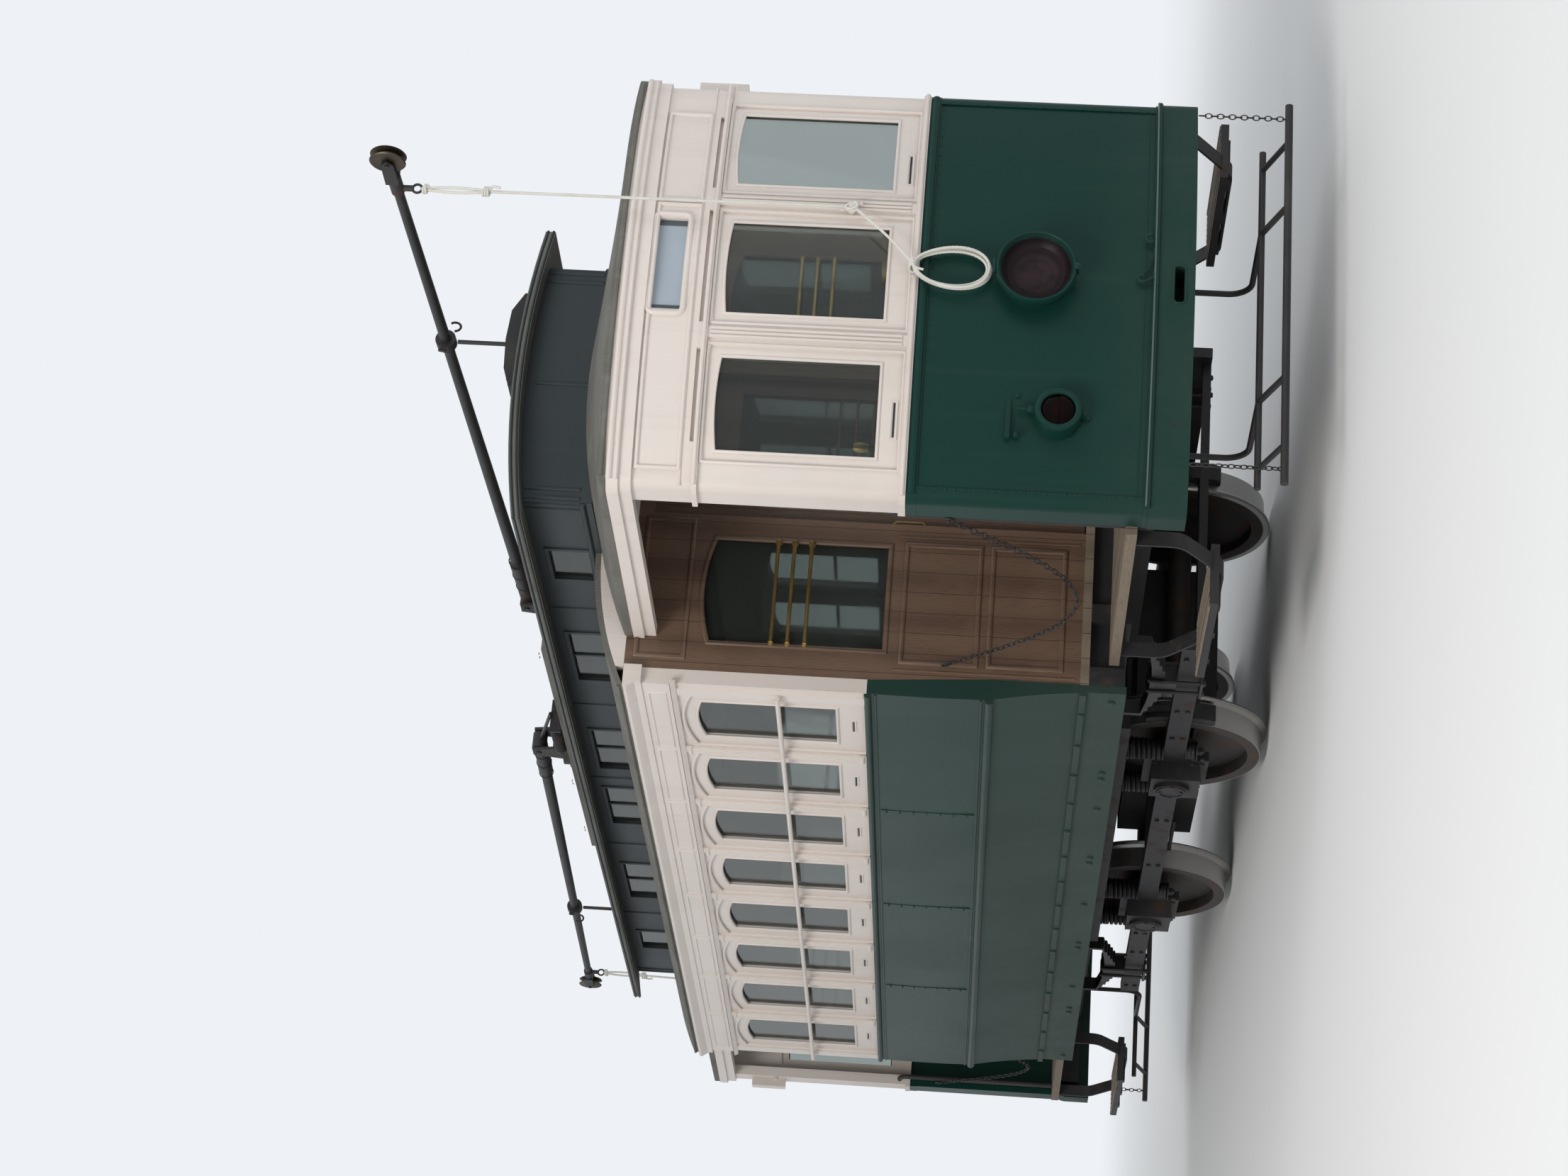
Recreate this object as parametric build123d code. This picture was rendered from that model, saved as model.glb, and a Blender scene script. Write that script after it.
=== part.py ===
from build123d import *
import os
from math import sqrt

os.makedirs("parts", exist_ok=True)

# A narrow-gauge four-wheel tram with a hollow timber saloon, open-sided platforms with glazed
# fronts, a raised roof with side lights, and a pair of trolley poles. Sizes are in millimetres.
# +X is the front end, +Z is up, and the origin is under the middle, level with the flange tips.

# Clearances
CLEAR = 0.3              # seat clearance of pieces that turn or slide
FIT = 0.05               # of a pin in its bore
RUN = 6.0                # running clearance of moving pieces
FIXING = 4.0             # how far a moulding is let into what it is fixed to

# Track and wheels
FLANGE = 25.0            # flange depth, so the rail head lies this far above the origin
GAUGE = 1067.0
TREAD_R = 380.0
TREAD_W = 126.0
WHEEL_BASE = 1830.0
AXLE_R = 52.0
JOURNAL_R = 40.0
JOURNAL_PLAY = 1.5       # all round it in its box
HUB_R = 94.0
HUB_IN = 14.0            # how far the hub stands inside the rims, and short of them outside
RIM_T = 58.0
RIM_EDGE = 4.0
WEB_T = 32.0
WEB_Y0 = 30.0            # inner face of the wheel's plate at the hub and at the rim, from BACK_Y
WEB_Y1 = 40.0
WEB_EASE = 4.0
CONING = 3.0             # how much smaller the tread is at its outer edge
JOURNAL_END = 740.0
AXLE_Z = FLANGE + TREAD_R
TIP_R = TREAD_R + FLANGE
BACK_Y = GAUGE / 2 - 38.0        # inner face of the wheel rims
WHEEL_ROOM = 36.0        # between the flanges and the floor

# Saloon
PITCH = 610.0            # from one window post to the next
WINDOWS = 8              # to each side
CORNER_POST = 70.0
SIDE_Y = 1083.0          # outer face of the side at the windows
WALL = 60.0
PANEL_SET = 30.0         # how much thicker the wall is below the belt
INNER_Y = SIDE_Y - WALL - PANEL_SET
HALF_SALOON = WINDOWS * PITCH / 2 + CORNER_POST
FLOOR_T = 35.0
FLOOR_Z = AXLE_Z + TIP_R + WHEEL_ROOM + FLOOR_T


def over_rail(height):
    """Height above the origin of something this far above the rail head."""
    return FLANGE + height


def over_floor(height):
    """Height above the origin of something this far above the saloon floor."""
    return FLOOR_Z + height


def over_axle(height):
    """Height above the origin of something this far above the axles."""
    return AXLE_Z + height


BELT_Z = over_floor(356.0)
SILL_Z = over_floor(844.0)
GUARD_Z = over_floor(1199.0)
SPRING_Z = over_floor(1556.0)    # where the window arches start
DRIP_Z = over_floor(1633.0)
CORNICE_Z = over_floor(1817.0)
SKIRT_Z = over_floor(-184.0)
SKIRT_Y = 1027.0
SKIRT_T = 32.0
LOWER_RAIL_H = 26.0
LOWER_RAIL_OUT = 16.0
TUCK = 36.0              # how far the lower panel draws in under the belt
SWELL = 4.0              # crown of the waist panel

# Window posts, sashes and glass
POST_W = 104.0
PILASTER_W = 62.0
PILASTER_T = 10.0
ARCH_RISE = 42.0
SASH_T = 34.0
SASH_SET = 9.0           # how far the sash lies behind the posts
STILE = 66.0
SASH_RAIL = 122.0
SASH_HEAD = 56.0
GLASS_RISE = 24.0
GLASS_T = 6.0
GUARD_R = 10.0
GUARD_ARM_R = 8.0
GUARD_Y = SIDE_Y + 32.0

# Mouldings of the saloon sides
CORNICE_H = 72.0
CORNICE_OUT = 38.0
# Outline of the cornice: how far it stands out at this part of its height
CORNICE_STEPS = ((14.0, 0.0), (16.0, 0.35), (30.0, 0.62), (CORNICE_OUT, 0.8), (CORNICE_OUT, 0.92),
                 (32.0, 1.0))
CORNICE_LAP = 30.0       # how far it runs past the saloon's ends
DRIP_H = 26.0
DRIP_OUT = 22.0
LETTER_OUT = 8.0
BELT_H = 36.0
BELT_OUT = 20.0

# Platforms and their glazed fronts
DASH_X = 3830.0          # the dash's corners
BOW = 133.0              # how far its middle stands in front of them
DASH_Y = 867.0
DASH_T = 28.0
DASH_RETURN = 120.0
BACK_X = DASH_X - DASH_RETURN
CORNER_R = 45.0
MIN_CORNER = 8.0
DASH_TOP_OUT = 8.0
DASH_TOP_H = 40.0
DASH_FOOT_OUT = 10.0
DASH_FOOT_H = 20.0
DASH_EDGE_OUT = 6.0
DASH_EDGE_W = 46.0
PLATFORM_Z = over_floor(-111.0)
PLATFORM_T = 40.0
PLATFORM_Y = 905.0
FRONT_SILL_Z = over_floor(698.0)
FRONT_DRIP_Z = over_floor(1481.0)
FRONT_CORNICE_Z = over_floor(1792.0)
FRONT_CORNICE_H = 44.0
FRONT_CORNICE_OUT = 28.0
FRONT_CORNICE_W = 60.0
FRONT_BED_H = 46.0       # moulding under the cornice
FRONT_BED_OUT = 16.0
BED_W = 28.0             # how far it and the cornice's packing reach inwards of the face
FRONT_DRIP_H = 20.0
FRONT_DRIP_OUT = 16.0
FRONT_SKIRT_Z = over_floor(-321.0)
BUMPER_Z = over_floor(-182.0)
BUMPER_OUT = 14.0
BUMPER_T = 60.0
FRAME_T = 54.0           # timber of the glazed front
SILL_BAND_H = 27.0
SILL_BAND_OUT = 12.0
FRONT_STRIP_W = 44.0     # strip on each post of the front
STRIP_OUT = 8.0
FRONT_POST_Y = 283.0
CENTRE_PANE = (-198.0, 198.0)
SIDE_PANE = (368.0, 727.0)
PANE_LOW = over_floor(812.0)
PANE_SPRING = over_floor(1407.0)
PANE_RISE = 13.0
END_STILE = 38.0         # of the three front sashes
END_SASH_LOW = over_floor(729.0)
END_SASH_T = 30.0
END_SASH_SET = 10.0
VENTS = ((-700.0, -345.0), (-240.0, 240.0), (345.0, 700.0))
VENT_H = 16.0
VENT_DEPTH = 22.0

# Drawbar pocket and sign
SLOT_Z = over_floor(-264.0)
SLOT_W = 150.0
SLOT_H = 36.0
POCKET_W = 210.0
POCKET_WALL = 20.0
POCKET_X = DASH_X - 30.0
PIN_X = POCKET_X + 50.0
PIN_R = 16.0
SIGN_HALF = 194.0
SIGN_LOW = over_floor(1574.0)
SIGN_TOP = over_floor(1689.0)
SIGN_DEPTH = 22.0

# Saloon ends and doors
BULKHEAD_T = 40.0
DOOR_HALF = 330.0
DOOR_TOP = over_floor(1760.0)
BULK_PANE_Y = (430.0, 900.0)
BULK_PANE_LOW = SILL_Z - 60.0
BULK_PANE_SPRING = SPRING_Z - 60.0
BULK_PANE_RISE = 40.0
DOOR_T = 34.0
DOOR_LAP = 40.0
DOOR_STILE = 110.0
DOOR_SINK = 8.0          # depth of the lower panel's sinking
BARS = 3                 # guard bars across the door's pane
BAR_PITCH = 70.0
BAR_SET = 10.0
BAR_R = 6.0
DOOR_TRAVEL = 600.0
DOOR_PANE_LOW = SILL_Z - 60.0
DOOR_PANE_TOP = over_floor(1444.0)
DOOR_HEAD = 30.0         # how far the leaf laps the wall over the doorway
TRACK_H = 36.0

# Roofs
DECK_T = 24.0
DECK_OUT = CORNICE_OUT - 14.0
DECK_BULGE = 34.0
ROOF_CUT = 300.0         # clears what would stand above the lower roof
LIGHT_Y = 530.0          # outer face of the raised part's walls
LIGHT_X = 2960.0
LIGHT_T = 28.0
DECK_TOP_Z = over_floor(1982.0)  # the lower roof where it meets those walls
CROWN_Z = over_floor(2018.0)     # the platform roof's crown in front of the raised part
HOOD_T = 30.0
HOOD_RISE = 6.0
HOOD_OUT = 22.0
MONITOR_Y = 650.0
MONITOR_X = 3050.0
MONITOR_EDGE_Z = over_floor(2216.0)
MONITOR_CROWN = 62.0
MONITOR_T = 40.0
LIGHT_LOW = over_floor(2012.0)
LIGHT_HIGH = over_floor(2174.0)
# Side lights of the raised roof: where each starts and ends along X
LIGHTS = ((-2520.0, -2250.0), (-1690.0, -1190.0), (-600.0, -130.0),
          (130.0, 600.0), (1190.0, 1690.0), (2250.0, 2520.0))

# Running boards, feet, bases and poles
PLANK_X = 1250.0
PLANK_Y = 430.0
PLANK_T = 26.0
PLANK_W = 190.0
PLANK_PITCH = 220.0
PLANKS = 4
BATTEN_W = 70.0
PLANK_TOP = MONITOR_EDGE_Z + MONITOR_T + MONITOR_CROWN + 34.0
BATTENS = (-1100.0, -450.0, 450.0, 1100.0)
FOOT_R = 120.0
FOOT_H = 46.0
SWIVEL_R = 30.0
SWIVEL_H = 90.0
TABLE_T = 34.0
HUB_T = 26.0
CHEEK_T = 14.0
CHEEK_GAP = 46.0
BARREL_R = 24.0
TAIL = 330.0             # how far the spring barrels reach behind the pivot
PIVOT_R = 14.0
POLE_Y = 185.0
POLE_BASE_X = 450.0
POLE_PIVOT_Z = over_floor(2562.0)
POLE_RISE = 0.026        # slope at rest
SLEEVE_R = 36.0
SLEEVE_END = POLE_BASE_X + 380.0
POLE_R0 = 28.0
POLE_R1 = 19.0
POLE_HEAD_X = 4160.0
SOCKET_R = 26.0
TROLLEY_WHEEL_X = POLE_HEAD_X + 140.0
TROLLEY_WHEEL_R = 68.0
WHEEL_PIN = 8.0
HARP_W = 24.0
HARP_T = 8.0
REST_X = 2930.0
REST_BLOCK = 215.0
REST_H = 66.0
REST_W = 90.0
REST_R = 9.0
CLAMP_R = 42.0
CLAMP_W = 44.0
BAND_X = 4100.0          # rope band on the pole
HOOK_DROP = 62.0
HOOK_R = 12.0

# Truck
FRAME_Y = 680.0          # middle of the side frames
FRAME_W = 46.0
BAR_LOW = over_axle(-35.0)
BAR_TOP = over_axle(60.0)
CHORD_LOW = over_axle(220.0)
CHORD_TOP = over_axle(280.0)
CHORD_W = 80.0
FRAME_END = 2250.0
CHORD_END = 1420.0
TRANSOM_X = 190.0
TRANSOM_W = 84.0
BOX_W = 210.0
BOX_LOW = 110.0          # below and above the axle
BOX_HIGH = 105.0
LID_R = 78.0
LID_T = 18.0
LID_RISE = 10.0
PEDESTAL = 34.0
COIL_OFF = 195.0
COIL_R = 52.0
COIL_WIRE = 20.0
COIL_TURNS = 5
REBOUND_H = 52.0
LEAF_X = 1900.0
LEAF_LENGTH = 690.0
LEAF_T = 11.0
LEAF_W = 64.0
LEAVES = 5
LEAF_STEP = 52.0
LEAF_SAG = 30.0
LEAF_SEAT = 50.0         # height of the lowest leaf over the bar
MOTOR_X = (232.0, 790.0)
MOTOR_Y = 340.0
MOTOR_LOW = 190.0        # below and above the axle
MOTOR_HIGH = 170.0
SHOE_GAP = 6.0
SHOE_HALF = 150.0
HANGER_W = 28.0
SHOE_T = 44.0
SHOE_W = 76.0

# Underframe and steps
SOLE_W = 80.0
SOLE_OUT = SKIRT_Y - SKIRT_T
CROSS_W = 80.0
CROSS_PLACES = (-2430.0, -1650.0, -1335.0, -300.0, 300.0, 1335.0, 1650.0, 2430.0)
PLATFORM_BEARER_Y = 360.0
BEARER_H = 110.0
BEARER_GAP = 20.0        # between the truck's chord and the cross members
STEP_X = (HALF_SALOON + 250.0, HALF_SALOON + 940.0)
STEP_Z = over_floor(-471.0)
STEP_T = 32.0
STEP_Y = (800.0, 1045.0)
STRAP_T = 10.0
STRAP_W = 60.0
STRAP_Y = 870.0
STRAP_SPREAD = 160.0     # how much wider the irons are at the top
LUG_T = 12.0
LUG_W = 50.0

# Inside
BENCH_X = HALF_SALOON - BULKHEAD_T - 2 * RUN - DOOR_T - 40.0
BENCH_H = 430.0
BENCH_D = 440.0
BENCH_T = 40.0
BENCH_BOARD = 30.0
BENCH_GAP = 14.0
CONTROL_Y = -470.0
CONTROL_X = DASH_X - 250.0
CONTROL_H = 840.0
CASE_X = 110.0
CASE_Y = 170.0
DRUM_R = 100.0
DRUM_H = 56.0
CRANK = 150.0
CRANK_R = 14.0
KNOB_H = 80.0
BRAKE_Y = 330.0
BRAKE_H = 960.0
BRAKE_WHEEL_R = 180.0
BRAKE_RIM = 26.0
STAFF_R = 20.0

# Lamps, lifeguards, handles and rope
LAMP_Z = over_floor(266.0)
LAMP_R = 145.0
LAMP_DEPTH = 96.0
LAMP_RIM = 26.0
LAMP_GLASS_R = 136.0
LAMP_BOWL = 62.0
LAMP_BOWL_R = 100.0      # at its foot
MARKER_Y = -545.0
MARKER_Z = over_floor(161.0)
MARKER_R = 86.0
MARKER_DEPTH = 66.0
LENS_R = 64.0
LENS_SET = 16.0
NUB_W = 28.0
BAR_HALF = 100.0
BAR_H = 18.0
GUARD_BAR_X = 3970.0
GUARD_BAR_Z = over_rail(200.0)
GUARD_BACK_X = 3760.0
GUARD_BACK_Z = over_rail(278.0)
GUARD_BAR_R = 15.0
GUARD_STAY_R = 11.0
GUARD_ARM = 12.0
GUARD_HALF = 800.0
GUARD_ROOT = 790.0       # where its arms hang, beyond the saloon's end
HANDLE_R = 13.0
GRAB_OUT = 60.0
BOX_OUT = 55.0
CORNER_BOX_Z = (over_floor(1412.0), over_floor(1602.0))
HANK_W = 212.0
HANK_H = 307.0
HANK_ROPE = 34.0
HANK_TOP = FRONT_SILL_Z + 29.0
HANK_Y = 8.0


def block(x0, x1, y0, y1, z0, z1):
    """Box between two corners."""
    size = Box(abs(x1 - x0), abs(y1 - y0), abs(z1 - z0))
    return Pos((x0 + x1) / 2, (y0 + y1) / 2, (z0 + z1) / 2) * size


def rod(a, b, radius, end_radius=None):
    """Round bar between two points, tapered if it has an end radius."""
    run = Vector(*b) - Vector(*a)
    place = Plane(origin=a, z_dir=run)
    if end_radius is None:
        return extrude(place * Circle(radius), run.length)
    cone = Cone(radius, end_radius, run.length, align=(Align.CENTER, Align.CENTER, Align.MIN))
    return place.location * cone


def upright(x, y, z0, z1, radius):
    """Upright round bar."""
    return rod((x, y, z0), (x, y, z1), radius)


def tube_path(points, bends, radius):
    """Round bar along straight runs with a bend at each inner point."""
    line = FilletPolyline(*points, radius=bends)
    start = Plane(origin=line @ 0, z_dir=line % 0)
    return sweep(start * Circle(radius), path=line)


def along_x(points, x0, x1):
    """Prism along X of a polygon given as (y, z) points."""
    face = make_face(Polyline([(x0, y, z) for y, z in points], close=True))
    return extrude(face, amount=x1 - x0, dir=(1, 0, 0))


def along_y(points, y0, y1):
    """Prism along Y of a polygon given as (x, z) points."""
    face = make_face(Polyline([(x, y0, z) for x, z in points], close=True))
    return extrude(face, amount=y1 - y0, dir=(0, 1, 0))


def other_side(shape):
    """The same shape on the other side of the car."""
    return mirror(shape, about=Plane.XZ)


def other_end(shape):
    """The same shape turned half round, for the car's other end."""
    return Rot(0, 0, 180) * shape


def both_sides(shapes):
    return list(shapes) + [other_side(s) for s in shapes]


def both_ends(shapes):
    return list(shapes) + [other_end(s) for s in shapes]


def all_corners(shapes):
    return both_ends(both_sides(shapes))


def save(name, shapes):
    """Write one piece, or several like pieces on one body, as a STEP file."""
    solids = []
    for shape in shapes if isinstance(shapes, (list, tuple)) else [shapes]:
        solids += list(shape.solids())
    piece = Compound(children=solids)
    piece.label = name
    export_step(piece, f"parts/{name}.step")


# Window shapes

def arched(a, b, low, spring, rise, cut0, cut1, axis):
    """Prism through a wall of an opening with a low arch: axis is the wall's normal."""
    middle = (a + b) / 2
    if axis == "y":
        p = [(a, cut0, low), (b, cut0, low), (b, cut0, spring), (middle, cut0, spring + rise),
             (a, cut0, spring)]
        way = (0, 1, 0)
    else:
        p = [(cut0, a, low), (cut0, b, low), (cut0, b, spring), (cut0, middle, spring + rise),
             (cut0, a, spring)]
        way = (1, 0, 0)
    edge = [Line(p[4], p[0]), Line(p[0], p[1]), Line(p[1], p[2]), ThreePointArc(p[2], p[3], p[4])]
    return extrude(make_face(edge), amount=cut1 - cut0, dir=way)


def post_places():
    return [(i - WINDOWS / 2) * PITCH for i in range(WINDOWS + 1)]


def bay_places():
    return [(i + 0.5 - WINDOWS / 2) * PITCH for i in range(WINDOWS)]


# Saloon sides, made at -Y

def side_panel():
    """Waist panel, belt and tucked-in lower panel with the skirt board, one wall of real thickness."""
    outer = -SIDE_Y
    foot = -SKIRT_Y - SWELL
    tuck_z = FLOOR_Z + 0.42 * (BELT_Z - FLOOR_Z)
    root_y = outer + SWELL
    face = [
        Line((0, outer + WALL, SILL_Z), (0, outer, SILL_Z)),
        ThreePointArc((0, outer, SILL_Z), (0, outer - SWELL, (SILL_Z + BELT_Z) / 2), (0, outer, BELT_Z)),
        ThreePointArc((0, outer, BELT_Z), (0, outer + TUCK, tuck_z), (0, foot, FLOOR_Z)),
        Line((0, foot, FLOOR_Z), (0, -INNER_Y, FLOOR_Z)),
        Line((0, -INNER_Y, FLOOR_Z), (0, -INNER_Y, BELT_Z)),
        Line((0, -INNER_Y, BELT_Z), (0, outer + WALL, SILL_Z)),
    ]
    bead = [
        ThreePointArc((0, root_y, BELT_Z - BELT_H / 2), (0, outer - BELT_OUT, BELT_Z),
                      (0, root_y, BELT_Z + BELT_H / 2)),
        Line((0, root_y, BELT_Z + BELT_H / 2), (0, root_y, BELT_Z - BELT_H / 2)),
    ]
    wall = extrude(make_face(face), amount=2 * HALF_SALOON, dir=(1, 0, 0))
    wall += extrude(make_face(bead), amount=2 * HALF_SALOON, dir=(1, 0, 0))
    wall = Pos(-HALF_SALOON, 0, 0) * wall
    wall += block(-HALF_SALOON, HALF_SALOON, -SKIRT_Y, -SKIRT_Y + SKIRT_T, SKIRT_Z, FLOOR_Z)
    wall += block(-HALF_SALOON, HALF_SALOON, -SKIRT_Y - LOWER_RAIL_OUT, -SKIRT_Y, FLOOR_Z - LOWER_RAIL_H,
                  FLOOR_Z)
    return wall


def window_frame():
    """Posts, arched heads, letterboard and cornice of one side."""
    face_y = -SIDE_Y
    low = CORNICE_Z - CORNICE_H
    wall = block(-HALF_SALOON, HALF_SALOON, face_y, face_y + WALL, SILL_Z, low)
    half = (PITCH - POST_W) / 2
    for x in bay_places():
        wall -= arched(x - half, x + half, SILL_Z, SPRING_Z, ARCH_RISE, face_y, face_y + WALL, "y")
    for x in post_places():
        x0 = max(x - PILASTER_W / 2, -HALF_SALOON)
        x1 = min(x + PILASTER_W / 2, HALF_SALOON)
        wall += block(x0, x1, face_y - PILASTER_T, face_y, SILL_Z, DRIP_Z - DRIP_H)
    over = HALF_SALOON + CORNICE_LAP
    letter = block(-HALF_SALOON, HALF_SALOON, face_y - LETTER_OUT, face_y, DRIP_Z, low)
    drip = along_x([(face_y, DRIP_Z - DRIP_H), (face_y - DRIP_OUT * 0.6, DRIP_Z - DRIP_H),
                    (face_y - DRIP_OUT, DRIP_Z - DRIP_H / 4), (face_y, DRIP_Z)], -over, over)
    profile = [(face_y + WALL, low)]
    for out, part in CORNICE_STEPS:
        profile.append((face_y - out, low + CORNICE_H * part))
    profile.append((face_y + WALL, CORNICE_Z))
    return wall + letter + drip + along_x(profile, -over, over)


def side_sashes():
    """One arched sash in each bay, and the panes they hold."""
    sashes = []
    panes = []
    y0 = -SIDE_Y + SASH_SET
    y1 = y0 + SASH_T
    groove = (SASH_T - GLASS_T) / 2
    half = (PITCH - POST_W) / 2
    light = half - STILE
    low = SILL_Z + SASH_RAIL
    spring = SPRING_Z + ARCH_RISE - SASH_HEAD - GLASS_RISE
    for x in bay_places():
        sash = arched(x - half, x + half, SILL_Z, SPRING_Z, ARCH_RISE, y0, y1, "y")
        sashes.append(sash - arched(x - light, x + light, low, spring, GLASS_RISE, y0, y1, "y"))
        panes.append(arched(x - light, x + light, low, spring, GLASS_RISE, y0 + groove, y1 - groove, "y"))
    return sashes, panes


def guard_rail():
    """Rail outside the windows of one side, with a bracket at each post."""
    end = HALF_SALOON - CORNER_POST / 2
    rail = rod((-end, -GUARD_Y, GUARD_Z), (end, -GUARD_Y, GUARD_Z), GUARD_R)
    for x in post_places():
        rail += rod((x, -SIDE_Y - PILASTER_T, GUARD_Z), (x, -GUARD_Y, GUARD_Z), GUARD_ARM_R)
    return rail


# Bow-fronted ends, made at +X

def bow_radius(extra=0.0):
    return (DASH_Y ** 2 + BOW ** 2) / (2 * BOW) + extra


def bow_x(y, extra=0.0):
    """X of the bow's outer face, moved outwards by extra, at this y."""
    centre = DASH_X + BOW - bow_radius()
    return centre + sqrt(bow_radius(extra) ** 2 - y ** 2)


def bow_plan(extra, back, z, corner=CORNER_R):
    """Plan of the bow front: an arc with rounded corners, moved outwards by extra."""
    y = DASH_Y + extra
    x = bow_x(y, extra)
    arc = ThreePointArc((x, -y, z), (bow_x(0, extra), 0, z), (x, y, z))
    face = make_face([arc, Line((x, y, z), (back, y, z)), Line((back, y, z), (back, -y, z)),
                      Line((back, -y, z), (x, -y, z))])
    tips = [v for v in face.vertices() if v.X > back + 1]
    return fillet(tips, corner)


def bow_wall(extra, thickness, z0, z1, back=BACK_X):
    """Upright wall along the bow front, open to the rear."""
    corner = CORNER_R + extra
    outer = extrude(bow_plan(extra, back, z0, corner), amount=z1 - z0, dir=(0, 0, 1))
    core = bow_plan(extra - thickness, back - 1, z0, max(corner - thickness, MIN_CORNER))
    return outer - extrude(core, amount=z1 - z0, dir=(0, 0, 1))


def dash():
    """Dash panel with its top and bottom mouldings, down to the bumper."""
    panel = bow_wall(0, DASH_T, BUMPER_Z, FRONT_SILL_Z)
    panel += bow_wall(DASH_TOP_OUT, DASH_TOP_OUT + FIXING, FRONT_SILL_Z - DASH_TOP_H, FRONT_SILL_Z)
    panel += bow_wall(DASH_FOOT_OUT, DASH_FOOT_OUT + FIXING, BUMPER_Z, BUMPER_Z + DASH_FOOT_H)
    edge = bow_wall(DASH_EDGE_OUT, DASH_EDGE_OUT + FIXING, BUMPER_Z, FRONT_SILL_Z)
    middle = DASH_Y - DASH_EDGE_W
    return panel + (edge - block(0, DASH_X + BOW + CORNER_R, -middle, middle, BUMPER_Z, FRONT_SILL_Z))


def bumper():
    """Bumper beam under the dash, with the drawbar slot and its pin hole."""
    beam = bow_wall(BUMPER_OUT, BUMPER_T, FRONT_SKIRT_Z, BUMPER_Z)
    front = DASH_X + BOW + CORNER_R
    z0 = SLOT_Z - SLOT_H / 2
    z1 = SLOT_Z + SLOT_H / 2
    inner_face = bow_x(POCKET_W / 2, BUMPER_OUT - BUMPER_T)
    beam += block(POCKET_X, inner_face + FIXING, -POCKET_W / 2, POCKET_W / 2, z0 - POCKET_WALL,
                  z1 + POCKET_WALL)
    beam -= block(POCKET_X + POCKET_WALL, front, -SLOT_W / 2, SLOT_W / 2, z0, z1)
    return beam - upright(PIN_X, 0, z0 - 2 * POCKET_WALL, z1 + 2 * POCKET_WALL, PIN_R)


def front_panes():
    """Where the three panes of a front start and end along Y."""
    return [CENTRE_PANE, SIDE_PANE, (-SIDE_PANE[1], -SIDE_PANE[0])]


def end_sash_form(y0, y1):
    """Prism through the front wall of the opening that a sash fills."""
    return arched(y0 - END_STILE, y1 + END_STILE, END_SASH_LOW, PANE_SPRING + END_STILE, PANE_RISE,
                  BACK_X, DASH_X + BOW + CORNER_R, "x")


def end_frame(under_roof):
    """Timber front of the platform: posts, sill, letterboard and cornice, closed up to the roof."""
    front = DASH_X + BOW + CORNER_R
    wall = bow_wall(0, FRAME_T, FRONT_SILL_Z, FRONT_CORNICE_Z - FRONT_CORNICE_H)
    for y0, y1 in front_panes():
        wall -= end_sash_form(y0, y1)
    strips = bow_wall(STRIP_OUT, STRIP_OUT + FIXING, FRONT_SILL_Z, FRONT_DRIP_Z - FRONT_DRIP_H)
    for y in (-FRONT_POST_Y, FRONT_POST_Y):
        wall += strips & block(BACK_X, front, y - FRONT_STRIP_W / 2, y + FRONT_STRIP_W / 2, FRONT_SILL_Z,
                               FRONT_DRIP_Z)
    wall += bow_wall(SILL_BAND_OUT, SILL_BAND_OUT + FIXING, FRONT_SILL_Z, FRONT_SILL_Z + SILL_BAND_H)
    wall += bow_wall(FRONT_DRIP_OUT, FRONT_DRIP_OUT + FIXING, FRONT_DRIP_Z - FRONT_DRIP_H, FRONT_DRIP_Z)
    for y0, y1 in VENTS:
        groove = block(BACK_X, front, y0, y1, FRONT_DRIP_Z, FRONT_DRIP_Z + VENT_H)
        wall -= groove & bow_wall(FIXING, FIXING + VENT_DEPTH, FRONT_DRIP_Z, FRONT_DRIP_Z + VENT_H)
    wall += bow_wall(FRONT_CORNICE_OUT, FRONT_CORNICE_W, FRONT_CORNICE_Z - FRONT_CORNICE_H,
                     FRONT_CORNICE_Z, HALF_SALOON)
    wall += bow_wall(FRONT_BED_OUT, FRONT_BED_OUT + BED_W, FRONT_CORNICE_Z - FRONT_CORNICE_H - FRONT_BED_H,
                     FRONT_CORNICE_Z - FRONT_CORNICE_H, HALF_SALOON)
    filler = bow_wall(FRONT_BED_OUT, FRONT_BED_OUT + BED_W, FRONT_CORNICE_Z,
                      FRONT_CORNICE_Z + 2 * FRONT_CORNICE_H, HALF_SALOON)
    wall += filler & under_roof
    face_x = bow_x(SIGN_HALF)
    return wall - block(face_x - SIGN_DEPTH, front, -SIGN_HALF, SIGN_HALF, SIGN_LOW, SIGN_TOP)


def end_sashes():
    """The three sashes of a front and the panes they hold."""
    front = DASH_X + BOW + CORNER_R
    sashes = []
    panes = []
    middle = END_SASH_SET + (END_SASH_T - GLASS_T) / 2
    for y0, y1 in front_panes():
        hole = arched(y0, y1, PANE_LOW, PANE_SPRING, PANE_RISE, BACK_X, front, "x")
        body = end_sash_form(y0, y1) & bow_wall(-END_SASH_SET, END_SASH_T, FRONT_SILL_Z, FRONT_DRIP_Z)
        sashes.append(body - hole)
        panes.append(hole & bow_wall(-middle, GLASS_T, FRONT_SILL_Z, FRONT_DRIP_Z))
    return sashes, panes


def sign_blind():
    """Blank blind of the sign in the letterboard."""
    x = bow_x(SIGN_HALF) - SIGN_DEPTH
    return block(x, x + GLASS_T, -SIGN_HALF, SIGN_HALF, SIGN_LOW, SIGN_TOP)


# Saloon ends

def bulkhead_lights(x0, x1):
    """Prisms through the bulkhead at its two lights."""
    y0, y1 = BULK_PANE_Y
    light = arched(y0, y1, BULK_PANE_LOW, BULK_PANE_SPRING, BULK_PANE_RISE, x0, x1, "x")
    return both_sides([light])


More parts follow.
